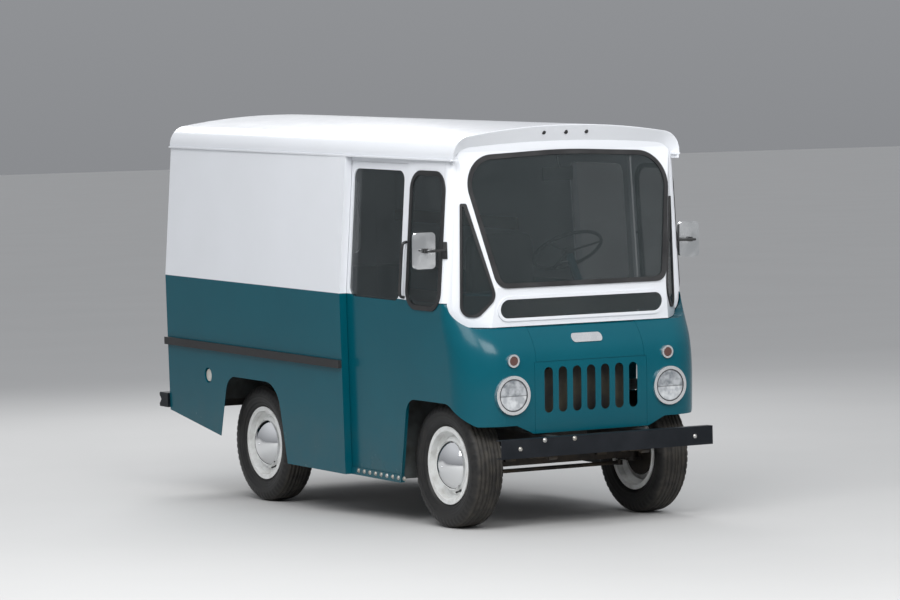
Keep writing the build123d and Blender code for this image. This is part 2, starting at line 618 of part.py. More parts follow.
def make_rear():
    inset = SKIN + 0.2
    heights = side_heights(430, DRIP_Z)
    right = [(side_x(CARGO_HALF, z) - inset, z) for z in heights]
    left = [(-x, z) for x, z in reversed(right)]
    wall = along_y(outline(right + left), REAR_Y - REAR_DOOR_THICK, REAR_Y)
    gap = PANEL_GAP / 2
    wall -= slab(-REAR_DOOR_HALF - gap, REAR_DOOR_HALF + gap, REAR_Y - 100, REAR_Y + 50,
                 REAR_DOOR_LOW_Z - gap, REAR_DOOR_HIGH_Z + gap)
    stop = slab(-REAR_DOOR_HALF + 12, REAR_DOOR_HALF - 12, REAR_Y - REAR_DOOR_THICK - SKIN - FACE_GAP,
                REAR_Y - REAR_DOOR_THICK - FACE_GAP, REAR_DOOR_LOW_Z + 12, REAR_DOOR_HIGH_Z - 12)
    flange = slab(-REAR_DOOR_HALF - 30, REAR_DOOR_HALF + 30, REAR_Y - REAR_DOOR_THICK - SKIN - FACE_GAP,
                  REAR_Y - REAR_DOOR_THICK - FACE_GAP, REAR_DOOR_LOW_Z - 30, REAR_DOOR_HIGH_Z + 30) - stop
    bridge = slab(-REAR_DOOR_HALF - 30, REAR_DOOR_HALF + 30, REAR_Y - REAR_DOOR_THICK - FACE_GAP,
                  REAR_Y - REAR_DOOR_THICK, REAR_DOOR_LOW_Z - 30, REAR_DOOR_HIGH_Z + 30)
    bridge -= slab(-REAR_DOOR_HALF - gap, REAR_DOOR_HALF + gap, REAR_Y - 100, REAR_Y + 50,
                   REAR_DOOR_LOW_Z - gap, REAR_DOOR_HIGH_Z + gap)
    frame = wall + bridge + flange - slab(-330, 330, REAR_Y - 100, REAR_Y + 50, 300, RAIL_HIGH_Z + FACE_GAP)
    hinge_x, hinge_y = REAR_DOOR_HALF + 5, REAR_Y + REAR_HINGE_OUT
    pins = []
    for z in (REAR_DOOR_LOW_Z + 160, REAR_DOOR_HIGH_Z - 160):
        pad = slab(hinge_x + 3, hinge_x + 46, REAR_Y, REAR_Y + 8, z - 30, z - 2)
        pin = disc_z(hinge_x, hinge_y, z - 30, z + 28, 4)
        knuckle = disc_z(hinge_x, hinge_y, z - 30, z - 2, 9) + slab(hinge_x, hinge_x + 10, REAR_Y, hinge_y, z - 30, z - 2)
        pins += [pad + knuckle + pin]
    frame_full = frame
    for pin in pins:
        frame_full = frame_full + pin + flip(pin)
    parts["rear_frame"] = frame_full
    door = slab(2, REAR_DOOR_HALF, REAR_Y - REAR_DOOR_THICK, REAR_Y, REAR_DOOR_LOW_Z, REAR_DOOR_HIGH_Z)
    window = outline([(150, 1290), (520, 1290), (520, 1740), (150, 1740)], 50)
    door -= along_y(window, REAR_Y - 60, REAR_Y + 20)
    for z in (REAR_DOOR_LOW_Z + 160, REAR_DOOR_HIGH_Z - 160):
        leaf = disc_z(hinge_x, hinge_y, z, z + 28, 9) + slab(hinge_x - 60, hinge_x, REAR_Y, REAR_Y + 8, z, z + 28)
        leaf -= disc_z(hinge_x, hinge_y, z - 5, z + 33, 4 + RUNNING_FIT)
        door += leaf
    pane = outline([(150.2, 1290.2), (519.8, 1290.2), (519.8, 1739.8), (150.2, 1739.8)], 49.8)
    glass = along_y(pane, REAR_Y - REAR_DOOR_THICK / 2 - GLASS / 2, REAR_Y - REAR_DOOR_THICK / 2 + GLASS / 2)
    handle_x, handle_z = 60, 1050
    bore = disc_y(handle_x, REAR_Y - 60, REAR_Y + 20, handle_z, 8 + RUNNING_FIT)
    parts["rear_door_left"] = solids_of(door - bore, glass)
    parts["rear_door_right"] = solids_of(flip(door), flip(glass))
    handle = disc_y(handle_x, REAR_Y - REAR_DOOR_THICK - 6, REAR_Y + 24, handle_z, 8)
    handle += disc_y(handle_x, REAR_Y + FACE_GAP, REAR_Y + 9, handle_z, 20)
    handle += slab(handle_x - 9, handle_x + 9, REAR_Y + 20, REAR_Y + 32, handle_z - 115, handle_z + 14)
    parts["rear_door_handle"] = handle


def make_floor():
    """Cab and cargo floor, step wells at the doors and boxes over the wheels, all flat plates."""
    top, low = FLOOR_Z, FLOOR_Z - PLATE
    house_in, house_out = 325.0, side_x(CAB_HALF, 690) - SKIN - 8
    house_top = 700.0
    front, house_front, house_rear = -340.0, -225.0, 396.0
    step_x, step_top = 560.0, SILL_Z + 22
    door_x = side_x(CAB_HALF, DOOR_LOW_Z) - DOOR_RECESS - DOOR_THICK - 4
    box_front, box_rear = REAR_AXLE_Y - 400, REAR_AXLE_Y + 360
    box_in, box_out = 465.0, side_x(CARGO_HALF, 560) - SKIN - 6
    door_end = CARGO_FRONT_Y - 3
    end = REAR_Y - REAR_DOOR_THICK - 6
    plates = solids_of(slab(-ENGINE_BAY_X, ENGINE_BAY_X, front, -160, low, top),
                       slab(-house_in, house_in, ENGINE_BAY_END_Y, end, low, top))
    sides = [
        slab(ENGINE_BAY_X, house_in, front, ENGINE_BAY_END_Y, low, top),
        slab(house_in, house_out, house_front, DOOR_FRONT_Y - 8, house_top, house_top + PLATE),
        slab(house_in, door_x, DOOR_FRONT_Y - 8, house_rear, house_top, house_top + PLATE),
        slab(house_in, house_in + PLATE, house_front, house_rear, top, house_top),
        slab(house_in + PLATE, door_x, house_rear - PLATE, house_rear, top, house_top),
        slab(step_x, door_x, house_rear - PLATE, house_rear, step_top - PLATE, top),
        slab(house_in, step_x, house_rear, door_end, low, top),
        slab(step_x, step_x + PLATE, house_rear, door_end, step_top, top),
        slab(step_x, door_x, house_rear, door_end, step_top - PLATE, step_top),
        slab(house_in, door_x, door_end, box_front, low, top),
        slab(step_x, door_x, door_end, door_end + PLATE, step_top - PLATE, low),
        slab(house_in, box_in, box_front, end, low, top),
        slab(box_in, box_in + PLATE, box_front, box_rear, top, house_top),
        slab(box_in, box_out, box_front, box_rear, house_top, house_top + PLATE),
        slab(box_in + PLATE, box_out, box_front, box_front + PLATE, low, house_top),
        slab(box_in + PLATE, box_out, box_rear - PLATE, box_rear, low, house_top),
        slab(box_in, box_out, box_rear, end, low, top),
    ]
    for plate in sides:
        plates += both_sides(plate)
    parts["floor_pan"] = plates
    slats = []
    slat_front = DOOR_FRONT_Y + DOOR_LENGTH + DOOR_TRAVEL + 48
    for z in (1000.0, 1480.0):
        slats += both_sides(side_band(CARGO_HALF - SKIN - FACE_GAP, 19, z, z + 70, slat_front, end))
    parts["cargo_slats"] = slats


def make_rub_rails():
    low, high = 800.0, 843.0
    rail = side_band(CARGO_HALF + 22, 21.8, low, high, CARGO_FRONT_Y + 2, REAR_Y + 4)
    return both_sides(rail)


# ================= lamps and trim =================
def ring_profile_y(x, z, y, rings):
    """Round lamp body about an axis along Y: stacked coaxial rings (y0, y1, outer, inner)."""
    body = None
    for y0, y1, outer, inner in rings:
        ring = disc_y(x, y + y0, y + y1, z, outer)
        if inner:
            ring -= disc_y(x, y + y0 - 1, y + y1 + 1, z, inner)
        body = ring if body is None else body + ring
    return body


def make_lamps():
    rings, lenses = [], []
    face = NOSE_STATIONS[1][1]
    head = ring_profile_y(HEADLIGHT_X, HEADLIGHT_Z, face, [
        (-16, 22, HEADLIGHT_R, HEADLIGHT_LENS_R), (22, 90, HEADLIGHT_R, HEADLIGHT_R - 4), (86, 90, HEADLIGHT_R, 0)])
    lens = disc_y(HEADLIGHT_X, face - 14, face + 20, HEADLIGHT_Z, HEADLIGHT_LENS_R - FACE_GAP)
    signal = ring_profile_y(SIGNAL_X, SIGNAL_Z, face, [
        (-7, 12, SIGNAL_R, SIGNAL_LENS_R), (12, 40, SIGNAL_R, SIGNAL_R - 3), (38, 40, SIGNAL_R, 0)])
    signal_lens = disc_y(SIGNAL_X, face - 8, face + 11, SIGNAL_Z, SIGNAL_LENS_R - FACE_GAP)
    tail = disc_y(REAR_DOOR_HALF + 78, REAR_Y + FACE_GAP, REAR_Y + 26, 960, 42)
    for piece in (head, signal):
        rings += both_sides(piece)
    for piece in (lens, signal_lens, tail):
        lenses += both_sides(piece)
    parts["lamp_rings"] = rings
    parts["lamp_lenses"] = lenses
    plate = outline([(-96, 990), (96, 990), (96, 1036), (-96, 1036)], 20)
    parts["badge_plate"] = along_y(plate, -420, -300) & (nose_block(-5) - nose_block(-FACE_GAP))


def make_bumpers():
    front = BUMPER_FRONT_Y
    web = slab(-BUMPER_HALF, BUMPER_HALF, front, front + BUMPER_WALL, BUMPER_LOW_Z, BUMPER_HIGH_Z)
    for low in (BUMPER_LOW_Z, BUMPER_HIGH_Z - BUMPER_WALL):
        web += slab(-BUMPER_HALF, BUMPER_HALF, front, front + BUMPER_FLANGE, low, low + BUMPER_WALL)
    for step in (-0.5, 0.5):
        x = PLATE_HOLE_X + step * PLATE_HOLE_PITCH
        web -= disc_y(x, front - 1, front + 10, PLATE_HOLE_Z, PLATE_HOLE_R)
    parts["front_bumper"] = web
    z0, z1 = REAR_BUMPER_LOW_Z, REAR_BUMPER_HIGH_Z
    y0, y1 = REAR_Y + 3, REAR_Y + REAR_BUMPER_OUT
    waist = (z0 + z1) / 2
    profile = outline([(y0, z0), (y1 - 8, z0), (y1, z0 + 14), (y1 - 26, waist), (y1, z1 - 14), (y1 - 8, z1), (y0, z1)],
                      [0, 6, 10, 8, 10, 6, 0])
    parts["rear_bumper"] = along_x(profile, -REAR_BUMPER_HALF, REAR_BUMPER_HALF)


# ================= chassis =================
def make_chassis():
    """Two rails with horns for the bumpers, cross members, outriggers and spring hangers."""
    inner, outer = RAIL_X - RAIL_WIDTH / 2, RAIL_X + RAIL_WIDTH / 2
    pieces = both_sides(slab(inner, outer, RAIL_FRONT_Y, RAIL_REAR_Y, RAIL_LOW_Z, RAIL_HIGH_Z))
    pieces += both_sides(slab(inner, outer, BUMPER_FRONT_Y + 9.6, RAIL_FRONT_Y, RAIL_LOW_Z + 6, RAIL_HIGH_Z - 11))
    pieces += both_sides(slab(inner, outer, RAIL_REAR_Y, REAR_Y + 3, RAIL_LOW_Z + 5, RAIL_HIGH_Z - 5))
    for y in (-440.0, 1180.0, 2560.0, 2920.0):
        pieces += solids_of(slab(-inner, inner, y, y + 40, RAIL_LOW_Z + 16, RAIL_HIGH_Z - 10))
    pieces += solids_of(slab(-inner, inner, 690, 740, RAIL_LOW_Z, GEARBOX_LOW_Z))
    reach = side_x(CARGO_HALF, RAIL_HIGH_Z - 50) - SKIN - 0.5
    for y in (1570.0, 2500.0):
        pieces += both_sides(slab(outer, reach, y, y + 30, RAIL_HIGH_Z - 50, RAIL_HIGH_Z))
    springs = ((0.0, front_spring_z(), FRONT_SPRING_HALF), (REAR_AXLE_Y, rear_spring_z(), REAR_SPRING_HALF))
    for y_mid, z_mid, half in springs:
        for y in (y_mid - half, y_mid + half):
            low = z_mid + SPRING_ARCH + SPRING_EYE_R + FACE_GAP
            pieces += both_sides(slab(inner + 1, outer - 1, y - 18, y + 18, low, RAIL_LOW_Z))
    parts["chassis_frame"] = pieces


def front_spring_z():
    """Underside of the front main leaf at the axle."""
    return TYRE_R + BEAM_HALF + 22


def rear_spring_z():
    return REAR_AXLE_Z + AXLE_TUBE + 24


def leaf_stack(y_mid, z_mid, half, count):
    """Leaf spring: gently arched leaves, each shorter than the one above, with an eye at each end."""
    stack = None
    for index in range(count):
        reach = half * (1 - 0.2 * index)
        rise = SPRING_ARCH * (reach / half) ** 2
        low = z_mid - index * (LEAF - 0.5)
        upper = ThreePointArc((y_mid - reach, low + rise + LEAF), (y_mid, low + LEAF), (y_mid + reach, low + rise + LEAF))
        lower = ThreePointArc((y_mid - reach, low + rise), (y_mid, low), (y_mid + reach, low + rise))
        ends = [Line(upper @ 0, lower @ 0), Line(upper @ 1, lower @ 1)]
        leaf = along_x(make_face(upper + lower + ends), SPRING_X - SPRING_WIDTH / 2, SPRING_X + SPRING_WIDTH / 2)
        stack = leaf if stack is None else stack + leaf
    for end in (-1, 1):
        stack += disc_x(SPRING_X - SPRING_WIDTH / 2, SPRING_X + SPRING_WIDTH / 2, y_mid + end * half,
                        z_mid + SPRING_ARCH, SPRING_EYE_R)
    return stack


def make_springs():
    """Springs with their clamp blocks, cut to sit on the axles."""
    pieces = []
    front = leaf_stack(0, front_spring_z(), FRONT_SPRING_HALF, 3)
    front += slab(SPRING_X - 32, SPRING_X + 32, -45, 45, TYRE_R, front_spring_z() + 16)
    beam = slab(0, 900, -BEAM_HALF - 3, BEAM_HALF + 3, 0, TYRE_R + BEAM_HALF + 2)
    pieces += both_sides(front - beam)
    rear = leaf_stack(REAR_AXLE_Y, rear_spring_z(), REAR_SPRING_HALF, 3)
    rear += slab(SPRING_X - 32, SPRING_X + 32, REAR_AXLE_Y - 45, REAR_AXLE_Y + 45, REAR_AXLE_Z, rear_spring_z() + 16)
    tube = disc_x(0, 900, REAR_AXLE_Y, REAR_AXLE_Z, AXLE_TUBE + FACE_GAP)
    tube += slab(0, 900, REAR_AXLE_Y - 60, REAR_AXLE_Y + 60, REAR_AXLE_Z - 60, REAR_AXLE_Z)
    pieces += both_sides(rear - tube)
    parts["leaf_springs"] = pieces


def make_engine():
    """Engine with sump and gearbox, fan, radiator, engine cover, exhaust and fuel tank."""
    engine = slab(-130, 130, -150, 400, 420, 830) + slab(-110, 110, -140, 390, 372, 420)
    engine += slab(-150, 150, 400, 470, 400, 720)
    engine += slab(-85, 85, 470, GEARBOX_END_Y, GEARBOX_LOW_Z, RAIL_HIGH_Z - 6)
    engine += disc_y(0, -196, -150, FAN_Z, 14)
    parts["engine"] = engine
    fan = disc_y(0, -220, -196 - FACE_GAP, FAN_Z, 32)
    for turn in range(4):
        fan += Pos(0, -208, FAN_Z) * Rot(0, 90 * turn + 45, 0) * Pos(0, 0, 68) * Rot(0, 0, 28) * Box(58, 5, 96)
    parts["fan"] = fan
    parts["radiator"] = solids_of(slab(-255, 255, -322, -282, FLOOR_Z, 850), slab(-225, 225, -330, -274, 850, 888))
    parts["engine_cover"] = slab(-240, 240, -250, 500, FLOOR_Z, 905) - slab(-237, 237, -260, 497, FLOOR_Z - 1, 902)
    exhaust = rod((190, 300, 400), (190, 1260, 400), 18) + rod((190, 1260, 400), (190, 1700, 400), 54)
    exhaust += rod((190, 300, 400), (110, 300, 400), 18) + slab(186, 194, 1400, 1430, 440, RAIL_HIGH_Z)
    parts["exhaust"] = exhaust
    tank = slab(-245, 245, 2610, 2900, 300, RAIL_HIGH_Z)
    parts["fuel_tank"] = fillet(tank.edges().filter_by(Axis.X), 40)


def make_axles():
    """Front axle beam with kingpin bosses, and the rear axle with its differential and drums."""
    boss_low, boss_high = TYRE_R - KINGPIN_BOSS_H / 2, TYRE_R + KINGPIN_BOSS_H / 2
    beam = slab(-KINGPIN_X, KINGPIN_X, -BEAM_HALF, BEAM_HALF, TYRE_R - BEAM_HALF, TYRE_R + BEAM_HALF)
    for side in (-1, 1):
        beam += disc_z(side * KINGPIN_X, 0, boss_low, boss_high, KINGPIN_BOSS_R)
    for side in (-1, 1):
        beam -= disc_z(side * KINGPIN_X, 0, boss_low - 1, boss_high + 1, KINGPIN_R + RUNNING_FIT)
    parts["front_axle"] = beam
    hub_in = WHEEL_CENTRE_X - RIM_WIDTH / 2
    axle = rod((-hub_in - 20, WHEELBASE, TYRE_R), (hub_in + 20, WHEELBASE, TYRE_R), AXLE_TUBE)
    axle += Pos(0, WHEELBASE, TYRE_R) * Sphere(118)
    for side in (-1, 1):
        axle += disc_x(side * hub_in, side * (WHEEL_CENTRE_X + SPINDLE_END), WHEELBASE, TYRE_R, SPINDLE_R)
        axle += disc_x(side * (WHEEL_CENTRE_X - 24), side * (WHEEL_CENTRE_X - 18), WHEELBASE, TYRE_R, DRUM_R)
    axle += disc_y(0, WHEELBASE - 146, WHEELBASE - 96, TYRE_R, 30)
    parts["rear_axle"] = axle


def make_knuckles():
    """Steering knuckles with kingpins, wheel spindles and steering arms, joined by the tie rod."""
    boss_low, boss_high = TYRE_R - KINGPIN_BOSS_H / 2, TYRE_R + KINGPIN_BOSS_H / 2
    ear = 16
    low, high = boss_low - FACE_GAP - ear, boss_high + FACE_GAP
    knuckle = disc_z(KINGPIN_X, 0, low, high + ear, KINGPIN_R)
    back = KINGPIN_X + KINGPIN_BOSS_R + 8
    for z in (low, high):
        knuckle += disc_z(KINGPIN_X, 0, z, z + ear, KINGPIN_BOSS_R)
        knuckle += slab(KINGPIN_X, back + 14, -KINGPIN_BOSS_R, KINGPIN_BOSS_R, z, z + ear)
    knuckle += slab(back, back + 14, -KINGPIN_BOSS_R, KINGPIN_BOSS_R, low, high + ear)
    knuckle += disc_x(back + 14, WHEEL_CENTRE_X + SPINDLE_END, 0, TYRE_R, SPINDLE_R)
    knuckle += disc_x(WHEEL_CENTRE_X - 26, WHEEL_CENTRE_X - 18, 0, TYRE_R, DRUM_R)
    knuckle += slab(KINGPIN_X - 14, KINGPIN_X + 14, 0, STEERING_ARM + 14, low, low + ear)
    knuckle += disc_z(KINGPIN_X, STEERING_ARM, low - 34, low, BALL_PIN_R)
    parts["knuckle_left"] = knuckle
    parts["knuckle_right"] = flip(knuckle)
    rod_z = low - 20
    bar = rod((-KINGPIN_X + 16, STEERING_ARM, rod_z), (KINGPIN_X - 16, STEERING_ARM, rod_z), TIE_ROD_R)
    for side in (-1, 1):
        bar += disc_z(side * KINGPIN_X, STEERING_ARM, rod_z - 13, rod_z + 13, 19)
    bar -= disc_z(-KINGPIN_X, STEERING_ARM, rod_z - 20, rod_z + 20, BALL_PIN_R + RUNNING_FIT)
    bar -= disc_z(KINGPIN_X, STEERING_ARM, rod_z - 20, rod_z + 20, BALL_PIN_R + FACE_GAP)
    parts["tie_rod"] = bar


def tyre_solid():
    """Tyre: tread, rounded shoulders, sidewalls and beads, turned about the wheel axis."""
    half, bead = TYRE_WIDTH / 2, RIM_WIDTH / 2 - RIM_WALL - FACE_GAP
    inner, over = RIM_FLANGE_R - 17.5, RIM_FLANGE_R + 6
    points = [(half - 26, TYRE_R), (half, TYRE_R - 34), (half - 3, 262), (bead, over), (bead, inner), (bead - 12, inner),
              (half - 20, 268), (half - 22, TYRE_R - 30), (half - 40, TYRE_R - 14)]
    points += [(-x, r) for x, r in reversed(points)]
    radii = [16, 24, 26, 0, 0, 0, 12, 12, 0]
    radii += list(reversed(radii))
    face = Plane(origin=(0, 0, 0), x_dir=(1, 0, 0), z_dir=(0, -1, 0)) * outline(points, radii)
    return revolve(face, Axis.X)


def wheel_solids():
    """Steel rim with its disc, and the domed hubcap in front of it. Outboard is +X."""
    half, r = RIM_WIDTH / 2, RIM_FLANGE_R
    well = r - 46
    points = [(half, r), (half - RIM_WALL, r), (half - RIM_WALL, r - 18), (half - 30, r - 20), (20, well), (-20, well),
              (-half + 30, r - 20), (-half + RIM_WALL, r - 18), (-half + RIM_WALL, r), (-half, r),
              (-half, r - 24), (-half + 34, r - 27), (-16, well - 5), (10, well - 5), (24, well - 20),
              (30, HUBCAP_R + 6), (44, HUBCAP_R - 22), (36, HUB_R + 24), (28, HUB_R), (28, SPINDLE_R + RUNNING_FIT),
              (36, SPINDLE_R + RUNNING_FIT), (36, HUB_R), (42, HUB_R + 24), (51, HUBCAP_R - 22), (37, HUBCAP_R + 6),
              (32, well - 14), (22, well - 5), (half - 32, r - 27), (half, r - 24)]
    face = Plane(origin=(0, 0, 0), x_dir=(1, 0, 0), z_dir=(0, -1, 0)) * outline(points)
    rim = revolve(face, Axis.X)
    base, tip = HUBCAP_SEAT + 14, HUBCAP_SEAT + 14 + HUBCAP_DEPTH
    dome = ThreePointArc((base, HUBCAP_R), (base + HUBCAP_DEPTH * 0.72, HUBCAP_R * 0.62), (tip, 6))
    back = Polyline((tip, 6), (base + 4, 6), (base + 4, HUBCAP_R - 20), (HUBCAP_SEAT + 6.1, HUBCAP_R - 11),
                    (HUBCAP_SEAT + 0.6, HUBCAP_R), (base, HUBCAP_R))
    cap = revolve(Plane(origin=(0, 0, 0), x_dir=(1, 0, 0), z_dir=(0, -1, 0)) * make_face(dome + back), Axis.X)
    cap += disc_x(base + 3, tip - 1, 0, 0, 7)
    return solids_of(rim, cap)


def make_wheels():
    tyre = tyre_solid()
    wheel = wheel_solids()
    for end, y in (("front", 0.0), ("rear", WHEELBASE)):
        here = Pos(WHEEL_CENTRE_X, y, TYRE_R)
        parts["tyre_" + end + "_left"] = here * tyre
        parts["tyre_" + end + "_right"] = flip(here * tyre)
        parts["wheel_" + end + "_left"] = [here * solid for solid in wheel]
        parts["wheel_" + end + "_right"] = [flip(here * solid) for solid in wheel]


def make_shaft():
    """Propeller shaft from the gearbox down to the rear axle."""
    parts["driveshaft"] = rod((0, GEARBOX_END_Y + 5.3, SHAFT_Z), (0, REAR_AXLE_Y - 150, REAR_AXLE_Z + 6), SHAFT_R)


# ================= cab fittings =================
def column_point(distance):
    """Point on the steering column axis, measured down from the wheel hub."""
    lean = radians(STEER_LEAN)
    return (STEER_X, STEER_Y - distance * sin(lean), STEER_Z - distance * cos(lean))


def make_controls():
    column = rod(column_point(33.4), column_point(900), COLUMN_R)
    parts["steering_column"] = column - slab(0, 700, -500, 500, 0, 704 + FACE_GAP)
    lean = radians(STEER_LEAN)
    wheel_plane = Plane(origin=(STEER_X, STEER_Y, STEER_Z), x_dir=(1, 0, 0), z_dir=(0, sin(lean), cos(lean)))
    wheel = Torus(STEER_WHEEL_R - STEER_RIM_R, STEER_RIM_R)
    wheel += Pos(0, 0, -16) * Cylinder(34, 34)
    for angle in (90, 210, 330):
        spoke = Pos(0, 0, -8) * Rot(0, 0, angle) * Pos(STEER_WHEEL_R / 2, 0, 0) * Box(STEER_WHEEL_R - 14, 15, 7)
        wheel += spoke
    parts["steering_wheel"] = wheel_plane.location * wheel
    boot = Pos(LEVER_X, LEVER_Y, FLOOR_Z + LEVER_BOOT_R + FACE_GAP)
    lever = boot * Sphere(LEVER_BOOT_R)
    lever += boot * rod((0, 0, 0), (6, -40, 500), 8)
    lever += boot * Pos(6, -40, 505) * Sphere(22)
    parts["gear_lever"] = lever
    shelf = [(-530, -311.2), (530, -311.2), (640, -190), (640, -62), (-640, -62), (-640, -190)]
    parts["dashboard"] = along_z(outline(shelf), 1250, 1262) + slab(-640, 640, -72, -62, 1120, 1250)


def make_seat():
    x0, x1, y0, y1 = 125.0, 545.0, 640.0, 1060.0
    base = slab(x0 + 20, x1 - 20, y0 + 20, y1 - 20, FLOOR_Z, 965) - slab(x0 + 40, x1 - 40, y0 + 40, y1 + 20, FLOOR_Z + 6, 945)
    parts["seat_base"] = base
    cushion = slab(x0, x1, y0, y1, 965 + FACE_GAP, 1065)
    parts["seat_cushion"] = fillet(cushion.edges().filter_by(Axis.Z), 50)
    back = slab(x0, x1, y1 - 40, y1 + 50, 1065 + FACE_GAP, 1500)
    parts["seat_back"] = fillet(back.edges().filter_by(Axis.Y), 60)


def make_mirrors():
    """Door mirrors: an arm on each front post, and a head that swivels on the arm's end."""
    low, high = MIRROR_Z - 45, MIRROR_Z + 45
    post = cab_block(CAB_HALF, -FACE_GAP, low - 40, high + 40, CAB_CORNER_R)
    foot = (cab_block(CAB_HALF, -6, low, high, CAB_CORNER_R) - post) & slab(732, 790, -170, -116, low, high)
    pivot_y = MIRROR_Y - 30
    arm = rod((738, -134, MIRROR_Z), (MIRROR_X, -148, MIRROR_Z), 7) - post
    arm += rod((MIRROR_X, -148, MIRROR_Z), (MIRROR_X, pivot_y, MIRROR_Z), 7)
    arm += disc_z(MIRROR_X, pivot_y, MIRROR_Z - 12, MIRROR_Z + 12, MIRROR_SOCKET_R)
    arm += Pos(MIRROR_X, -148, MIRROR_Z) * Sphere(7)
    parts["mirror_arms"] = both_sides(foot + arm)
    x0, x1 = MIRROR_X - MIRROR_WIDTH / 2, MIRROR_X + MIRROR_WIDTH / 2
    z0, z1 = MIRROR_Z - MIRROR_HEIGHT / 2, MIRROR_Z + MIRROR_HEIGHT / 2
    front = pivot_y + MIRROR_SOCKET_R + FACE_GAP
    head = along_y(outline([(x0, z0), (x1, z0), (x1, z1), (x0, z1)], 24), front, front + 22)
    parts["mirror_left"] = head
    parts["mirror_right"] = flip(head)


# ================= put it together =================
LEVEL = ("front_axle", "rear_axle", "knuckle_left", "knuckle_right", "tie_rod", "front_bumper")


def stays_level(name):
    """Pieces that do not tip with the body: axles, steering, wheels and the front bumper."""
    return name in LEVEL or name.startswith(("tyre_", "wheel_"))


def main():
    make_nose()
    make_windshield_frame()
    make_glazing()
    make_roof()
    make_cab_side()
    make_cargo_side()
    make_sliding_door()
    make_rear()
    make_floor()
    parts["rub_rails"] = make_rub_rails()
    make_lamps()
    make_bumpers()
    make_chassis()
    make_springs()
    make_engine()
    make_axles()
    make_knuckles()
    make_wheels()
    make_shaft()
    make_controls()
    make_seat()
    make_mirrors()
    os.makedirs("parts", exist_ok=True)
    tip = Axis((0, 0, TYRE_R), (1, 0, 0))
    placed = {}
    for name, shape in parts.items():
        shapes = shape if isinstance(shape, list) else shape.solids()
        if not stays_level(name):
            shapes = [solid.rotate(tip, RAKE) for solid in shapes]
        placed[name] = shapes
    everything = Compound(children=[s for shapes in placed.values() for s in shapes])
    box = everything.bounding_box()
    shift = Vector(-(box.min.X + box.max.X) / 2, -(box.min.Y + box.max.Y) / 2, -box.min.Z)
    print("shift", shift, "size", box.size)
    for name, shapes in placed.items():
        moved = [Pos(shift) * solid for solid in shapes]
        export_step(Compound(children=moved), "parts/" + name + ".step")
        print(name, len(moved), "solid(s)")


main()
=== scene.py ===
# %% [markdown]
# # A small mail delivery truck
# The truck is a tall steel box on a light chassis. Its panels, wheels, doors and controls
# come ready made and in place, each with its own joint. This lesson paints them, adds the
# fine pieces that a plain solid leaves out, and sets up a quiet studio around them.

# %% Load the frame
import json
from math import atan2, cos, hypot, pi, radians, sin

import bmesh
import bpy
from mathutils import Matrix, Vector

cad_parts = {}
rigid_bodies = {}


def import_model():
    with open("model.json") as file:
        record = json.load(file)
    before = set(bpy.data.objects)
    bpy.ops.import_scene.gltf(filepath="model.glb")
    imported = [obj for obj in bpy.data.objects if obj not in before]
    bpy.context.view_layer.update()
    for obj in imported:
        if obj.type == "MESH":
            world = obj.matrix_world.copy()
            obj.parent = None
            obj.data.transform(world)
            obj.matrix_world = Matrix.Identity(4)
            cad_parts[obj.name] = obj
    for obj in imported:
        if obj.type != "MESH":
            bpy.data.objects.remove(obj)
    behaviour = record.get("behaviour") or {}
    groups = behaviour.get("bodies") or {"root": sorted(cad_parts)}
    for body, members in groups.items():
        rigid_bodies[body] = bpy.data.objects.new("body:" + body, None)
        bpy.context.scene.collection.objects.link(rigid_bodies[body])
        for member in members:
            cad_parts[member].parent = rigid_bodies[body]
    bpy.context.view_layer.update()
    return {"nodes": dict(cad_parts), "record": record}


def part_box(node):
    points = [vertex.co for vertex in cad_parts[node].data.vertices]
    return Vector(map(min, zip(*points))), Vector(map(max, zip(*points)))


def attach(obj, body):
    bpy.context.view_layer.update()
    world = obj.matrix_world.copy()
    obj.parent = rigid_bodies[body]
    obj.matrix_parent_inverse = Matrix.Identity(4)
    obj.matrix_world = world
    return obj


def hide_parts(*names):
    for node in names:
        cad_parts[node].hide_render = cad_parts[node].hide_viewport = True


for spare in list(bpy.data.objects):
    bpy.data.objects.remove(spare)
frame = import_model()
nodes = frame["nodes"]

# %% [markdown]
# The real body sits nose-down by a degree and a half on its springs. Sizes on the body are
# easiest to think of with the truck level, so one function takes a level place in
# millimetres and gives the tipped place in metres. It could be an empty with a rotation,
# but plain sums keep every piece's own origin at the middle, as the frame wants.

# %% From level millimetres to the tipped truck
RAKE = radians(1.5)
AXLE_Z = 0.335
SHIFT_Y = -1.27303


def place(x, y, z):
    """Level body point in millimetres, as a point on the tipped truck in metres."""
    x, y, z = x / 1000, y / 1000, z / 1000 - AXLE_Z
    return Vector((x, y * cos(RAKE) - z * sin(RAKE) + SHIFT_Y, AXLE_Z + y * sin(RAKE) + z * cos(RAKE)))


def level(x, y, z):
    """Point on the running gear, which stays level."""
    return Vector((x / 1000, y / 1000 + SHIFT_Y, z / 1000))


print("belt line at the nose:", [round(v, 3) for v in place(0, -143, 1212)])

# %% [markdown]
# Paint, rubber and chrome are sums of small patterns. Wiring those sums by hand is slow, so
# a small class holds one socket and lets it be added and multiplied like a number. Every
# other kind of node comes from one method. Python's own operators read better than a long
# list of links, and a mistake in a sum is easy to see.

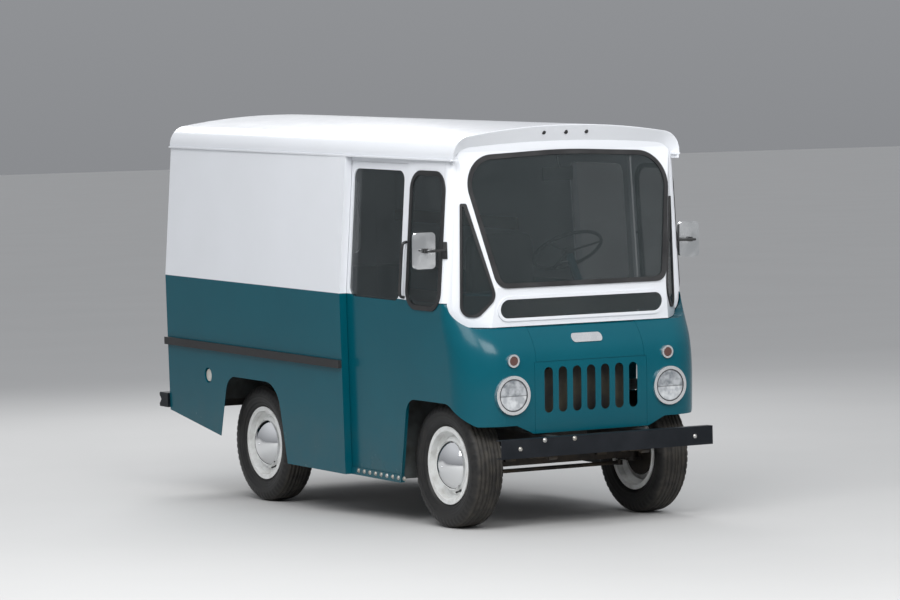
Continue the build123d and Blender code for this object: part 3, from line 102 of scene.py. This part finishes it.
# %% Shader sums
class Wire:
    """One output socket that can be used in ordinary sums."""

    def __init__(self, tree, socket=None):
        self.tree = tree
        self.socket = socket

    def node(self, kind, settings=None, sockets=None, out=0):
        """Adds a node: its kind, its settings first, then the values or links of its sockets."""
        made = self.tree.nodes.new("ShaderNode" + kind)
        for name, value in (settings or {}).items():
            if name == "stops":
                ramp = made.color_ramp
                while len(ramp.elements) < len(value):
                    ramp.elements.new(0.5)
                for element, (where, colour) in zip(ramp.elements, value):
                    element.position = where
                    element.color = colour
            else:
                setattr(made, name, value)
        for name, value in (sockets or {}).items():
            if isinstance(value, Wire):
                self.tree.links.new(value.socket, made.inputs[name])
            else:
                made.inputs[name].default_value = value
        return Wire(self.tree, made.outputs[out])

    def maths(self, operation, first, second=0.0, clamp=False):
        return self.node("Math", {"operation": operation, "use_clamp": clamp}, {0: first, 1: second})

    def __add__(self, other):
        return self.maths("ADD", self, other)

    def __sub__(self, other):
        return self.maths("SUBTRACT", self, other)

    def __mul__(self, other):
        return self.maths("MULTIPLY", self, other)

    __radd__ = __add__
    __rmul__ = __mul__

    def __rsub__(self, other):
        return self.maths("SUBTRACT", other, self)

    def __abs__(self):
        return self.maths("ABSOLUTE", self)

    def above(self, edge, soft):
        """1 above the edge and 0 below it, with a soft step between."""
        return self.maths("ADD", (self - edge) * (1 / soft), 0.5, clamp=True)

    def blend(self, first, second):
        """Colour that goes from first to second as this value goes from 0 to 1."""
        return self.node("Mix", {"data_type": "RGBA"}, {"Factor": self, "A": first, "B": second}, 2)


print("shader sums ready")

# %% [markdown]
# Every finish starts the same way: one glossy or matt surface, with its constant numbers
# typed straight into the sockets, and a few wires for what changes over the surface. The
# helper below makes that start, and a table remembers each finish by name.

# %% The start of every finish
finishes = {}


def rgba(red, green, blue):
    return (red, green, blue, 1.0)


def finish(name, recipe, **constants):
    """Makes a finish: constants go on the surface's own sockets, the recipe wires the rest."""
    material = bpy.data.materials.new(name)
    material.use_nodes = True
    tree = material.node_tree
    surface = tree.nodes["Principled BSDF"]
    for socket, value in constants.items():
        surface.inputs[socket.replace("_", " ")].default_value = value
    start = Wire(tree)
    for socket, value in recipe(start).items():
        tree.links.new(value.socket, surface.inputs[socket])
    finishes[name] = material
    return material


def spot(start):
    """Place on the piece as it stands at rest: x, y and z in metres."""
    return start.node("TexCoord", out=3)


def axes(start):
    """The three numbers of that place, each as a wire."""
    split = start.node("SeparateXYZ", {}, {0: spot(start)})
    made = split.socket.node
    return split, Wire(start.tree, made.outputs[1]), Wire(start.tree, made.outputs[2])


def body_height(start):
    """Height on the level body, whatever the rake, in metres."""
    _, y, z = axes(start)
    return (z - AXLE_Z) * cos(RAKE) - (y - SHIFT_Y) * sin(RAKE) + AXLE_Z


def noise(start, scale, detail=3.0, where=None):
    return start.node("TexNoise", {}, {"Vector": where or spot(start), "Scale": scale, "Detail": detail,
                                      "Roughness": 0.55})


def bump(height, strength, distance):
    return height.node("Bump", {}, {"Strength": strength, "Distance": distance, "Height": height})


print("finish helper ready")

# %% [markdown]
# The body is sprayed steel in two colours, deep teal under the belt line and cool white
# over it. One finish covers both, so the line crosses doors and corners without a step.
# It could be two materials on split faces, but the panels run through the line in one
# piece. Real enamel has a slow waviness and dust near the road, so both are worked into it.

# %% Body paint
TEAL = rgba(0.0, 0.072, 0.102)
TEAL_FRESH = rgba(0.0, 0.088, 0.120)
WHITE = rgba(0.78, 0.80, 0.84)
WHITE_AGED = rgba(0.73, 0.75, 0.78)
ROAD_DUST = rgba(0.10, 0.092, 0.075)


def enamel(start, colour, low_dust=0.42):
    """Wires for sprayed enamel of a given colour: waviness, and dust near the road."""
    height = body_height(start)
    cloud = noise(start, 5.0)
    dust = (1 - height.above(low_dust, 0.35)) * cloud.above(0.5, 0.3) * 0.16
    tinted = dust.blend(colour, ROAD_DUST)
    rough = dust * 0.35 + noise(start, 14.0) * 0.07 + 0.20
    skin = noise(start, 260.0, 1.0) * 0.02 + noise(start, 3.2, 1.0)
    normal = start.node("Bump", {}, {"Strength": 0.1, "Distance": 0.004, "Height": skin})
    return {"Base Color": tinted, "Roughness": rough, "Normal": normal}


def two_tone(start):
    cloud = noise(start, 2.4)
    teal = cloud.blend(TEAL, TEAL_FRESH)
    white = cloud.blend(WHITE, WHITE_AGED)
    return enamel(start, body_height(start).above(1.212, 0.003).blend(teal, white))


def plain_teal(start):
    return enamel(start, noise(start, 2.4).blend(TEAL, TEAL_FRESH))


def plain_white(start):
    return enamel(start, noise(start, 2.4).blend(WHITE, WHITE_AGED))


finish("body_paint", two_tone, Coat_Weight=0.08, Coat_Roughness=0.06, Specular_IOR_Level=0.22)
finish("teal_paint", plain_teal, Coat_Weight=0.08, Coat_Roughness=0.06, Specular_IOR_Level=0.22)
finish("white_paint", plain_white, Coat_Weight=0.3, Coat_Roughness=0.08)
print("paints:", sorted(finishes))

# %% [markdown]
# Rear doors carry their own fixed panes. A pane lies in the middle of the door's thickness, so a test of depth finds it
# and leaves the frame around it painted. The pane is near-black and a little under half opaque, which is painted shade
# of the dim cargo space behind it.

# %% Rear door paint with its pane
def door_with_pane(start):
    wires = two_tone(start)
    x, y, z = axes(start)
    depth = (y - SHIFT_Y) * cos(RAKE) + (z - AXLE_Z) * sin(RAKE)
    thin = 1 - abs(depth - 2.990).above(0.0030, 0.0004)
    inside = (abs(abs(x) - 0.335)).above(0.1856, 0.0004)
    tall = abs(body_height(start) - 1.515).above(0.2256, 0.0004)
    pane = thin * (1 - inside) * (1 - tall)
    # The pane's near-black colour, a little under half opaque, is painted shade of the dim cargo space behind it.
    wires["Base Color"] = pane.blend(wires["Base Color"], rgba(0.03, 0.04, 0.042))
    wires["Roughness"] = wires["Roughness"] * (1 - pane) + pane * 0.04
    wires["Alpha"] = 1 - pane * 0.55
    return wires


finish("rear_door_paint", door_with_pane, Coat_Weight=0.08, Coat_Roughness=0.06, Specular_IOR_Level=0.22)
print("rear door paint ready")

# %% [markdown]
# Under the body the metal is painted black or left raw, and all of it is dusty and a
# little oily. One recipe serves for all: a base colour, a second one in blotches, and how
# rough and how metallic the piece is.

# %% Dark running gear and plain metals
def worn(main, blotch, rough, metal=0.0, grain=60.0, height=0.0006):
    """Recipe for a worn surface: blotches, grain and a roughness that follows them."""
    def recipe(start):
        patches = noise(start, 9.0, 6.0).above(0.52, 0.3)
        fine = noise(start, grain, 4.0)
        wires = {"Base Color": patches.blend(main, blotch), "Roughness": patches * 0.18 + fine * 0.12 + rough,
                 "Normal": bump(fine, 0.35, height)}
        if metal:
            wires["Metallic"] = metal - patches * 0.25
        return wires
    return recipe


finish("black_paint", worn(rgba(0.012, 0.012, 0.013), rgba(0.045, 0.04, 0.033), 0.42), Coat_Weight=0.1)
finish("bumper_paint", worn(rgba(0.005, 0.007, 0.010), rgba(0.010, 0.012, 0.016), 0.30), Specular_IOR_Level=0.25)
finish("axle_iron", worn(rgba(0.02, 0.018, 0.016), rgba(0.055, 0.042, 0.03), 0.5, 0.5))
finish("spring_steel", worn(rgba(0.05, 0.046, 0.042), rgba(0.11, 0.085, 0.06), 0.48, 0.7))
finish("engine_iron", worn(rgba(0.055, 0.052, 0.048), rgba(0.02, 0.018, 0.015), 0.46, 0.5))
finish("radiator_metal", worn(rgba(0.02, 0.02, 0.02), rgba(0.05, 0.045, 0.03), 0.5, 0.4, 340.0, 0.002))
finish("exhaust_steel", worn(rgba(0.13, 0.10, 0.075), rgba(0.25, 0.14, 0.07), 0.5, 0.7))
finish("tank_steel", worn(rgba(0.02, 0.02, 0.022), rgba(0.06, 0.05, 0.04), 0.45))
finish("floor_paint", worn(rgba(0.075, 0.085, 0.085), rgba(0.035, 0.035, 0.032), 0.55))
finish("arm_black", worn(rgba(0.012, 0.012, 0.013), rgba(0.03, 0.03, 0.03), 0.32), Coat_Weight=0.2)
finish("black_plastic", worn(rgba(0.012, 0.012, 0.014), rgba(0.02, 0.02, 0.02), 0.24, 0.0, 300.0, 0.0002))
finish("fan_paint", worn(rgba(0.03, 0.03, 0.03), rgba(0.06, 0.05, 0.04), 0.45))
finish("cap_white", worn(rgba(0.62, 0.62, 0.58), rgba(0.4, 0.39, 0.34), 0.3, 0.0, 200.0, 0.0002))
finish("rubber", worn(rgba(0.010, 0.010, 0.011), rgba(0.024, 0.024, 0.025), 0.42, 0.0, 180.0, 0.0004))
finish("chrome", worn(rgba(0.82, 0.83, 0.84), rgba(0.70, 0.71, 0.72), 0.06, 1.0, 30.0, 0.00005))
finish("mirror", worn(rgba(0.85, 0.87, 0.88), rgba(0.80, 0.81, 0.82), 0.03, 1.0, 20.0, 0.00002))
finish("bright_bolt", worn(rgba(0.55, 0.55, 0.54), rgba(0.3, 0.27, 0.22), 0.28, 1.0))
print("running gear:", len(finishes), "finishes so far")

# %% [markdown]
# Window glass on a truck like this is flat and a little green at the edges. It is made partly see-through with a hard
# gloss, because thick refracting glass would darken the cab, which real flat panes don't. Its near-black colour, a
# little under half opaque, is painted shade of the dim cab seen through it.

# %% Glass
def glass_with_painted_shade(start):
    film = noise(start, 4.0, 5.0).above(0.5, 0.5)
    # The near-black colours are painted shade of the cab behind the glass. The noise between them is a faint film on
    # the glass.
    return {"Base Color": film.blend(rgba(0.022, 0.03, 0.032), rgba(0.04, 0.05, 0.052)),
            "Roughness": film * 0.05 + 0.02, "Alpha": film * 0.05 + 0.44}


finish("glass", glass_with_painted_shade, Specular_IOR_Level=0.7)
print("glass ready")

# %% [markdown]
# Lamp lenses share one finish. The big clear ones have pressed flutes that spread the beam. The bright reflector behind
# them is a painted reflection in the lens colour: pale blotches and a brighter lower half, with a dark painted line
# where the halves meet, and a dark ring at the rim. The small ones over them are dark amber, and the ones at the back
# are red. Where a lens is along the truck and how high tells which it is.

# %% Lamp lenses
def lens(start):
    x, y, z = axes(start)
    x = start.node("SeparateXYZ", {}, {0: spot(start)})
    rear = y.above(0.0, 0.1)
    height = body_height(start)
    high = height.above(0.86, 0.01) * (1 - rear)
    across, drop = abs(x) - 0.4965, height - 0.731
    reach = start.maths("SQRT", across * across + drop * drop)
    flutes = start.maths("SINE", across * 700.0) * 0.5 + 0.5
    # Painted reflection of the reflector behind the clear lens: pale blotches, and a brighter lower half.
    painted_reflector_blotches = noise(start, 24.0, 2.0).above(0.5, 0.25)
    painted_lower_reflection = 1 - drop.above(-0.004, 0.012)
    clear = (painted_reflector_blotches * 0.5 + painted_lower_reflection * 0.35).blend(rgba(0.20, 0.22, 0.24), rgba(0.80, 0.82, 0.84))
    # Dark ring at the rim, and a dark painted reflection line across the lens where the brighter lower half begins.
    edge = reach.above(0.080, 0.004) + (1 - abs(drop + 0.004).above(0.0028, 0.002)) * 0.55
    clear = start.maths("MINIMUM", edge, 1.0).blend(clear, rgba(0.03, 0.03, 0.035))
    colour = high.blend(rear.blend(clear, rgba(0.30, 0.006, 0.005)), rgba(0.085, 0.03, 0.022))
    return {"Base Color": colour, "Roughness": flutes * 0.12 + 0.10,
            "Metallic": (1 - high) * (1 - rear) * 0.35, "Normal": bump(flutes, 0.35, 0.002)}


finish("lens_glass", lens, Coat_Weight=1.0, Coat_Roughness=0.02)
print("lens ready")

# %% [markdown]
# The slats along the cargo walls are varnished wood. Long grain is a noise stretched along
# the board, and darker growth rings are a second, wider one.

# %% Wood
def slat_wood(start):
    long_way = start.node("Mapping", {}, {"Vector": spot(start), "Scale": (60.0, 2.0, 60.0)})
    grain = noise(start, 4.0, 8.0, long_way)
    rings = noise(start, 1.2, 2.0, long_way)
    colour = grain.blend(rgba(0.15, 0.065, 0.03), rgba(0.32, 0.16, 0.07))
    return {"Base Color": (rings * 0.5).blend(colour, rgba(0.10, 0.045, 0.02)),
            "Roughness": grain * 0.2 + 0.3, "Normal": bump(grain, 0.3, 0.001)}


finish("wood", slat_wood, Coat_Weight=0.3)
print("wood ready")

# %% [markdown]
# The wheel is a white painted rim with a bright pressed cap in its middle. Both are in one
# node, so the finish measures how far a point is from the axle line and how far out it
# stands, and turns to chrome on the cap.

# %% Wheel paint and chrome cap
def wheel_finish(centre):
    def recipe(start):
        x, y, z = axes(start)
        dy, dz = y - centre.y, z - centre.z
        radius = start.maths("SQRT", dy * dy + dz * dz)
        cap = (1 - radius.above(0.1335, 0.0006)) * abs(x).above(0.6304, 0.0006)
        grime = noise(start, 16.0, 5.0).above(0.55, 0.25) * radius.above(0.15, 0.06)
        white = (grime * 0.35).blend(rgba(0.78, 0.79, 0.78), rgba(0.26, 0.23, 0.19))
        return {"Base Color": cap.blend(white, rgba(0.84, 0.85, 0.86)), "Metallic": cap,
                "Roughness": (1 - cap) * 0.26 + grime * 0.15 + 0.05,
                "Normal": bump(noise(start, 90.0, 2.0), 0.08, 0.0004)}
    return recipe


wheel_spots = {}
for end in ("front", "rear"):
    for side in ("left", "right"):
        low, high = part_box(f"tyre_{end}_{side}")
        wheel_spots[end, side] = (Vector(low) + Vector(high)) / 2
    finish(f"wheel_{end}_finish", wheel_finish(wheel_spots[end, "left"]), Coat_Weight=0.3)
print("wheel centres:", {k: [round(c, 3) for c in v] for k, v in wheel_spots.items()})

# %% [markdown]
# Each node already names its slot. The loop gives every node the finish of that name, and
# the few that carry two materials in one node get their own.

# %% Paint every node
slots = {row["node"]: row["material_slot"] for row in frame["record"]["subparts"]}
special = {"rear_door_left": "rear_door_paint", "rear_door_right": "rear_door_paint"}
for end in ("front", "rear"):
    for side in ("left", "right"):
        special[f"wheel_{end}_{side}"] = f"wheel_{end}_finish"
for name, node in nodes.items():
    wanted = special.get(name, slots.get(name, "black_paint"))
    node.data.materials.clear()
    node.data.materials.append(finishes.get(wanted, finishes["black_paint"]))
print("painted", len(nodes), "nodes")

# %% [markdown]
# Small turned pieces, such as bolts, studs, caps and tyres, are all the same idea: a
# profile spun about a line. One helper spins any profile, so each piece is only its own
# outline.

# %% Turning a profile
def turned(name, profile, centre, direction, steps=32, wobble=None):
    """Spins (distance along, radius) points about a line through centre."""
    mesh = bmesh.new()
    axis = Vector(direction).normalized()
    turn = Vector((0, 0, 1)).rotation_difference(axis).to_matrix()
    rings = []
    for index in range(steps):
        angle = 2 * pi * index / steps
        ring = []
        for number, (along, radius) in enumerate(profile):
            if wobble:
                radius += wobble(number, index)
            point = turn @ Vector((radius * cos(angle), radius * sin(angle), along))
            ring.append(mesh.verts.new(Vector(centre) + point))
        rings.append(ring)
    for index in range(steps):
        here, there = rings[index], rings[(index + 1) % steps]
        for number in range(len(profile) - 1):
            mesh.faces.new((here[number], here[number + 1], there[number + 1], there[number]))
    bmesh.ops.remove_doubles(mesh, verts=mesh.verts, dist=1e-6)
    bmesh.ops.recalc_face_normals(mesh, faces=mesh.faces)
    data = bpy.data.meshes.new(name)
    mesh.to_mesh(data)
    mesh.free()
    piece = bpy.data.objects.new(name, data)
    bpy.context.scene.collection.objects.link(piece)
    data.shade_smooth()
    return piece


def dress(piece, finish_name, body):
    """Gives a new piece its finish and the body that it rides on."""
    piece.data.materials.append(finishes[finish_name])
    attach(piece, body)
    return piece


print("turning helper ready")

# %% [markdown]
# Old cross-ply tyres have a flat tread of zigzag ribs and a row of small blocks on each
# shoulder, with rings pressed into the side. The ribs are grooves in the profile, and the
# blocks are made by dropping the shoulder points at every third step.

# %% Tyres
TREAD = 0.335
HALF_RIBS = [(0.0, TREAD), (0.004, TREAD), (0.006, TREAD - 0.007), (0.010, TREAD - 0.007), (0.012, TREAD - 0.0004),
             (0.028, TREAD - 0.001), (0.030, TREAD - 0.008), (0.034, TREAD - 0.008), (0.036, TREAD - 0.0015),
             (0.053, TREAD - 0.003), (0.055, TREAD - 0.010), (0.059, TREAD - 0.010), (0.061, TREAD - 0.004)]
SHOULDER = [(0.070, TREAD - 0.0075), (0.080, TREAD - 0.016), (0.087, TREAD - 0.027), (0.0905, TREAD - 0.038)]
SIDEWALL = [(0.0925, 0.290), (0.0933, 0.279), (0.0920, 0.270), (0.0926, 0.268), (0.0900, 0.262), (0.0870, 0.254),
            (0.0872, 0.252), (0.0840, 0.244), (0.0790, 0.234), (0.0800, 0.232), (0.0740, 0.224), (0.0690, 0.219),
            (0.0640, 0.2155), (0.0627, 0.2115), (0.0625, 0.192), (0.050, 0.192)]
TYRE_STEPS = 216


def tyre_profile():
    half = HALF_RIBS + SHOULDER + SIDEWALL
    return [(-x, r) for x, r in reversed(half)] + half[1:], len(half)


def tyre_wobble(count):
    ribs, shoulder = len(HALF_RIBS), len(SHOULDER)

    def wobble(number, index):
        along = abs(number - (count - 1))
        if ribs + 1 <= along < ribs + shoulder and index % 4 == 0:
            return -0.007
        return 0.0
    return wobble


def rubber_tread(centre):
    def recipe(start):
        x, y, z = axes(start)
        dy, dz = y - centre.y, z - centre.z
        radius = start.maths("SQRT", dy * dy + dz * dz)
        tread = radius.above(0.322, 0.01)
        dust = noise(start, 22.0, 6.0).above(0.5, 0.3)
        side = (dust * 0.45).blend(rgba(0.0085, 0.0085, 0.009), rgba(0.030, 0.028, 0.025))
        road = dust.blend(rgba(0.018, 0.017, 0.016), rgba(0.05, 0.045, 0.038))
        rings = start.maths("SINE", radius * 1400.0) * (1 - tread) * 0.5
        return {"Base Color": tread.blend(side, road), "Roughness": tread * 0.25 + dust * 0.1 + 0.42,
                "Normal": bump(rings + noise(start, 300.0) * 0.6, 0.25, 0.0008)}
    return recipe


profile, half_count = tyre_profile()
for (end, side), centre in wheel_spots.items():
    if side == "left":
        finish(f"tyre_{end}", rubber_tread(centre), Specular_IOR_Level=0.4)
    tyre = turned(f"tyre_{end}_{side}_tread", profile, centre, (1, 0, 0), TYRE_STEPS, tyre_wobble(half_count))
    dress(tyre, f"tyre_{end}", f"{end}_wheel_{side}")
    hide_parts(f"tyre_{end}_{side}")
print("tyres:", TYRE_STEPS, "steps each")

# %% [markdown]
# A short black valve with its cap stands in each rim. It is a little turned piece, set on
# the face of the rim and leaning outwards.

# %% Tyre valves
VALVE = [(0.0, 0.0), (0.0, 0.0075), (0.006, 0.007), (0.010, 0.0045), (0.024, 0.004), (0.024, 0.0055), (0.034, 0.005),
         (0.036, 0.0)]
for (end, side), centre in wheel_spots.items():
    out = 1 if side == "left" else -1
    angle = radians(-118)
    at = centre + Vector((out * 0.034, 0.150 * cos(angle), 0.150 * sin(angle)))
    valve = turned(f"valve_{end}_{side}", VALVE, at, (out, cos(angle) * 0.25, sin(angle) * 0.25), 14)
    dress(valve, "rubber", f"{end}_wheel_{side}")
print("four valves")

# %% [markdown]
# Bolts and studs: three bright bolt heads hold the bumper and its plate, three small
# dark studs sit on the brow of the roof, and a row of screws runs along each sill. Each is a turned head with a chamfer.

# %% Bolts and studs
BOLT = [(0.0, 0.0), (0.0, 0.013), (0.002, 0.013), (0.002, 0.0095), (0.007, 0.009), (0.0085, 0.006), (0.009, 0.0)]
for count, (x, z) in enumerate(((-400, 487), (-214, 485), (552, 449), (-552, 449))):
    bolt = turned(f"bumper_bolt_{count}", BOLT, level(x, -565, z), (0, -1, 0), 6 if count > 1 else 24)
    dress(bolt, "bright_bolt", "truck")
for count, x in enumerate((-140, 0, 130)):
    stud = turned(f"brow_stud_{count}", BOLT, place(x, -164, 2104), (0, -1, 0), 20)
    dress(stud, "rubber", "truck")
for side, out in (("left", 1), ("right", -1)):
    for count in range(9):
        lug = turned(f"sill_lug_{side}_{count}", BOLT, place(out * 735, 330 + count * 62, 238), (out, 0, 0), 12)
        dress(lug, "bright_bolt", "truck")
print("bolts, studs and sill screws")

# %% [markdown]
# Grab bars, hooks and mirror stems are bent round bar. A curve with a round bevel is the
# natural way, because the bend stays smooth and the bar keeps its thickness.

# %% Bent bars
def bar(name, points, thick, finish_name, body):
    """Round bar along smooth points."""
    curve = bpy.data.curves.new(name, "CURVE")
    curve.dimensions = "3D"
    curve.bevel_depth = thick
    curve.bevel_resolution = 5
    curve.use_fill_caps = True
    line = curve.splines.new("NURBS")
    line.points.add(len(points) - 1)
    for spot_on, point in zip(line.points, points):
        spot_on.co = (*point, 1.0)
    line.order_u = 3
    line.use_endpoint_u = True
    piece = bpy.data.objects.new(name, curve)
    bpy.context.scene.collection.objects.link(piece)
    return dress(piece, finish_name, body)


for side, out in (("left", 1), ("right", -1)):
    for count in range(1):
        low, high, y = 1225, 1520, 268
        grab = [place(out * x, y, z) for x, z in ((761, low), (782, low), (790, low + 22), (780, 1380), (772, high - 22),
                                                  (762, high), (738, high))]
        bar(f"grab_bar_{side}", grab, 0.008, "arm_black", "truck")
stalk = [place(335, 314, 1376), place(290, 300, 1370), place(245, 300, 1372)]
bar("signal_stalk", stalk, 0.005, "chrome", "truck")
print("bars")

# %% [markdown]
# The inside mirror hangs from the header on a short stem. Its head is a slim rounded box
# with a bright face. It is a box mesh with its edges rounded, because a lone flat card
# would vanish from the side.

# %% Rounded blocks
def block(name, centre, size, soft, finish_name, body, lean=RAKE):
    """Box with rounded edges, leaning with the body."""
    mesh = bmesh.new()
    bmesh.ops.create_cube(mesh, size=1.0)
    bmesh.ops.scale(mesh, vec=Vector(size), verts=mesh.verts)
    bmesh.ops.bevel(mesh, geom=mesh.edges[:], offset=soft, segments=4, profile=0.7, affect="EDGES")
    bmesh.ops.rotate(mesh, matrix=Matrix.Rotation(lean, 3, "X"), verts=mesh.verts)
    bmesh.ops.translate(mesh, vec=centre, verts=mesh.verts)
    data = bpy.data.meshes.new(name)
    mesh.to_mesh(data)
    mesh.free()
    data.shade_smooth()
    piece = bpy.data.objects.new(name, data)
    bpy.context.scene.collection.objects.link(piece)
    return dress(piece, finish_name, body)


block("inside_mirror_back", place(-30, -128, 1880), (0.190, 0.014, 0.072), 0.006, "black_plastic", "truck")
block("inside_mirror_face", place(-30, -120, 1880), (0.178, 0.004, 0.060), 0.0015, "mirror", "truck")
bar("inside_mirror_stem", [place(-30, -148, 1905), place(-30, -140, 1940), place(-30, -118, 1968)], 0.006,
    "arm_black", "truck")
print("inside mirror")

# %% [markdown]
# The seat is a foam cushion and a foam back under black vinyl. A real cushion crowns in
# the middle, pulls in at its welted edge and has pressed channels across it. The shape is
# a grid folded round a rounded box, with its height lifted by a crown and lowered along
# the channels, because vinyl over firm foam holds that form without any folds.

# %% Seat pads
def pad(name, node, up, rows):
    """A crowned pad in the space its node holds; up is the axis that crowns."""
    low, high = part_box(node)
    low, high = Vector(low), Vector(high)
    centre, size = (low + high) / 2, high - low
    across = [axis for axis in (0, 1, 2) if axis != up]
    steps = 36
    mesh = bmesh.new()
    bmesh.ops.create_cube(mesh, size=2.0)
    bmesh.ops.subdivide_edges(mesh, edges=mesh.edges[:], cuts=steps, use_grid_fill=True)
    for vert in mesh.verts:
        p = vert.co.copy()
        flat = [max(-1.0, min(1.0, p[axis])) for axis in across]
        reach = (1 - abs(flat[0]) ** 7) * (1 - abs(flat[1]) ** 7)
        edge = max(0.0, reach) ** 0.28
        sewn = 0.0
        for row in range(1, rows):
            gap = (flat[0] + 1) / 2 - row / rows
            sewn += 0.16 * (2.718 ** (-(gap * 42) ** 2))
        thick = 0.62 + 0.38 * edge - sewn * (1 if p[up] > 0 else 0.1)
        moved = Vector(p)
        moved[up] = p[up] * thick
        pull = 1 - 0.035 * (1 - abs(p[up]))
        for axis in across:
            other = across[1] if axis == across[0] else across[0]
            corner = 1 - 0.09 * abs(p[other]) ** 6
            moved[axis] = p[axis] * pull * corner
        vert.co = Vector(centre[axis] + moved[axis] * size[axis] * 0.49 for axis in range(3))
    data = bpy.data.meshes.new(name)
    mesh.to_mesh(data)
    mesh.free()
    data.shade_smooth()
    piece = bpy.data.objects.new(name, data)
    bpy.context.scene.collection.objects.link(piece)
    dress(piece, "vinyl", "truck")
    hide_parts(node)
    return piece


def leather_grain(start):
    cells = start.node("TexVoronoi", {"feature": "DISTANCE_TO_EDGE"}, {"Vector": spot(start), "Scale": 260.0})
    rubbed = noise(start, 7.0, 5.0).above(0.52, 0.3)
    return {"Base Color": rubbed.blend(rgba(0.013, 0.013, 0.014), rgba(0.038, 0.036, 0.034)),
            "Roughness": rubbed * 0.12 + 0.36, "Normal": bump(cells * 4.0, 0.3, 0.0006)}


finish("vinyl", leather_grain, Coat_Weight=0.15)
pad("seat_cushion_pad", "seat_cushion", 2, 5)
pad("seat_back_pad", "seat_back", 1, 5)
print("seat pads")

# %% [markdown]
# The studio is a pale floor, a soft pale surround and three large soft lights: one high on
# the left, one low and wide in front, and one behind to lift the roof edge. Large lights
# give the long clean reflections that show off sprayed panels.

# %% Studio
ground = bmesh.new()
bmesh.ops.create_grid(ground, x_segments=1, y_segments=1, size=120.0)
floor_data = bpy.data.meshes.new("floor")
ground.to_mesh(floor_data)
ground.free()
floor = bpy.data.objects.new("floor", floor_data)
bpy.context.scene.collection.objects.link(floor)


def pale_floor(start):
    return {"Base Color": noise(start, 0.6).blend(rgba(0.50, 0.50, 0.495), rgba(0.54, 0.54, 0.535))}


finish("pale_floor", pale_floor, Roughness=0.75)
floor_data.materials.append(finishes["pale_floor"])
world = bpy.data.worlds.new("studio")
world.use_nodes = True
sky = Wire(world.node_tree)
sky_height = Wire(world.node_tree, sky.node("SeparateXYZ", {}, {0: sky.node("TexCoord", out=0)}).socket.node.outputs[2])
shade = sky_height.above(0.28, 0.75).blend(rgba(0.34, 0.35, 0.37), rgba(1.0, 1.02, 1.06))
world.node_tree.links.new(shade.socket, world.node_tree.nodes["Background"].inputs["Color"])
world.node_tree.nodes["Background"].inputs["Strength"].default_value = 0.62
bpy.context.scene.world = world


def soft_light(name, where, aim, size, power):
    lamp = bpy.data.lights.new(name, "AREA")
    lamp.shape = "RECTANGLE"
    lamp.size, lamp.size_y = size
    lamp.energy = power
    holder = bpy.data.objects.new(name, lamp)
    holder.location = where
    holder.rotation_euler = (Vector(aim) - Vector(where)).to_track_quat("-Z", "Y").to_euler()
    bpy.context.scene.collection.objects.link(holder)


soft_light("high_left", (-5.5, -4.5, 7.0), (0, 0, 1.0), (5.0, 5.0), 430)
soft_light("front_wide", (-1.5, -9.0, 6.5), (0, -1, 1.0), (5.0, 3.5), 520)
soft_light("rear_lift", (1.5, 7.0, 6.0), (0, 1, 1.5), (5.0, 3.0), 300)
bpy.context.scene.view_settings.view_transform = "Standard"
print("studio lit")

# %% [markdown]
# The camera stands a long way back with a long lens, so that the sides of the box stay
# nearly parallel. Its place and turn are written out from its bearing, height and a slight
# tilt of the horizon.

# %% Camera
bearing, climb, tilt = radians(-30.914), radians(2.754), radians(-1.373)
back = Vector((sin(bearing) * cos(climb), -cos(bearing) * cos(climb), sin(climb)))
across = Vector((cos(bearing), sin(bearing), 0))
upward = back.cross(across)
right = across * cos(tilt) + upward * sin(tilt)
up = upward * cos(tilt) - across * sin(tilt)
lens_data = bpy.data.cameras.new("camera")
lens_data.lens = 162.83
lens_data.sensor_width = 36
lens_data.clip_end = 300
camera = bpy.data.objects.new("camera", lens_data)
bpy.context.scene.collection.objects.link(camera)
turn = Matrix((right, up, back)).transposed().to_4x4()
camera.matrix_world = Matrix.Translation((-11.7537, -19.86358, 2.25975)) @ turn
bpy.context.scene.camera = camera
print("camera set")
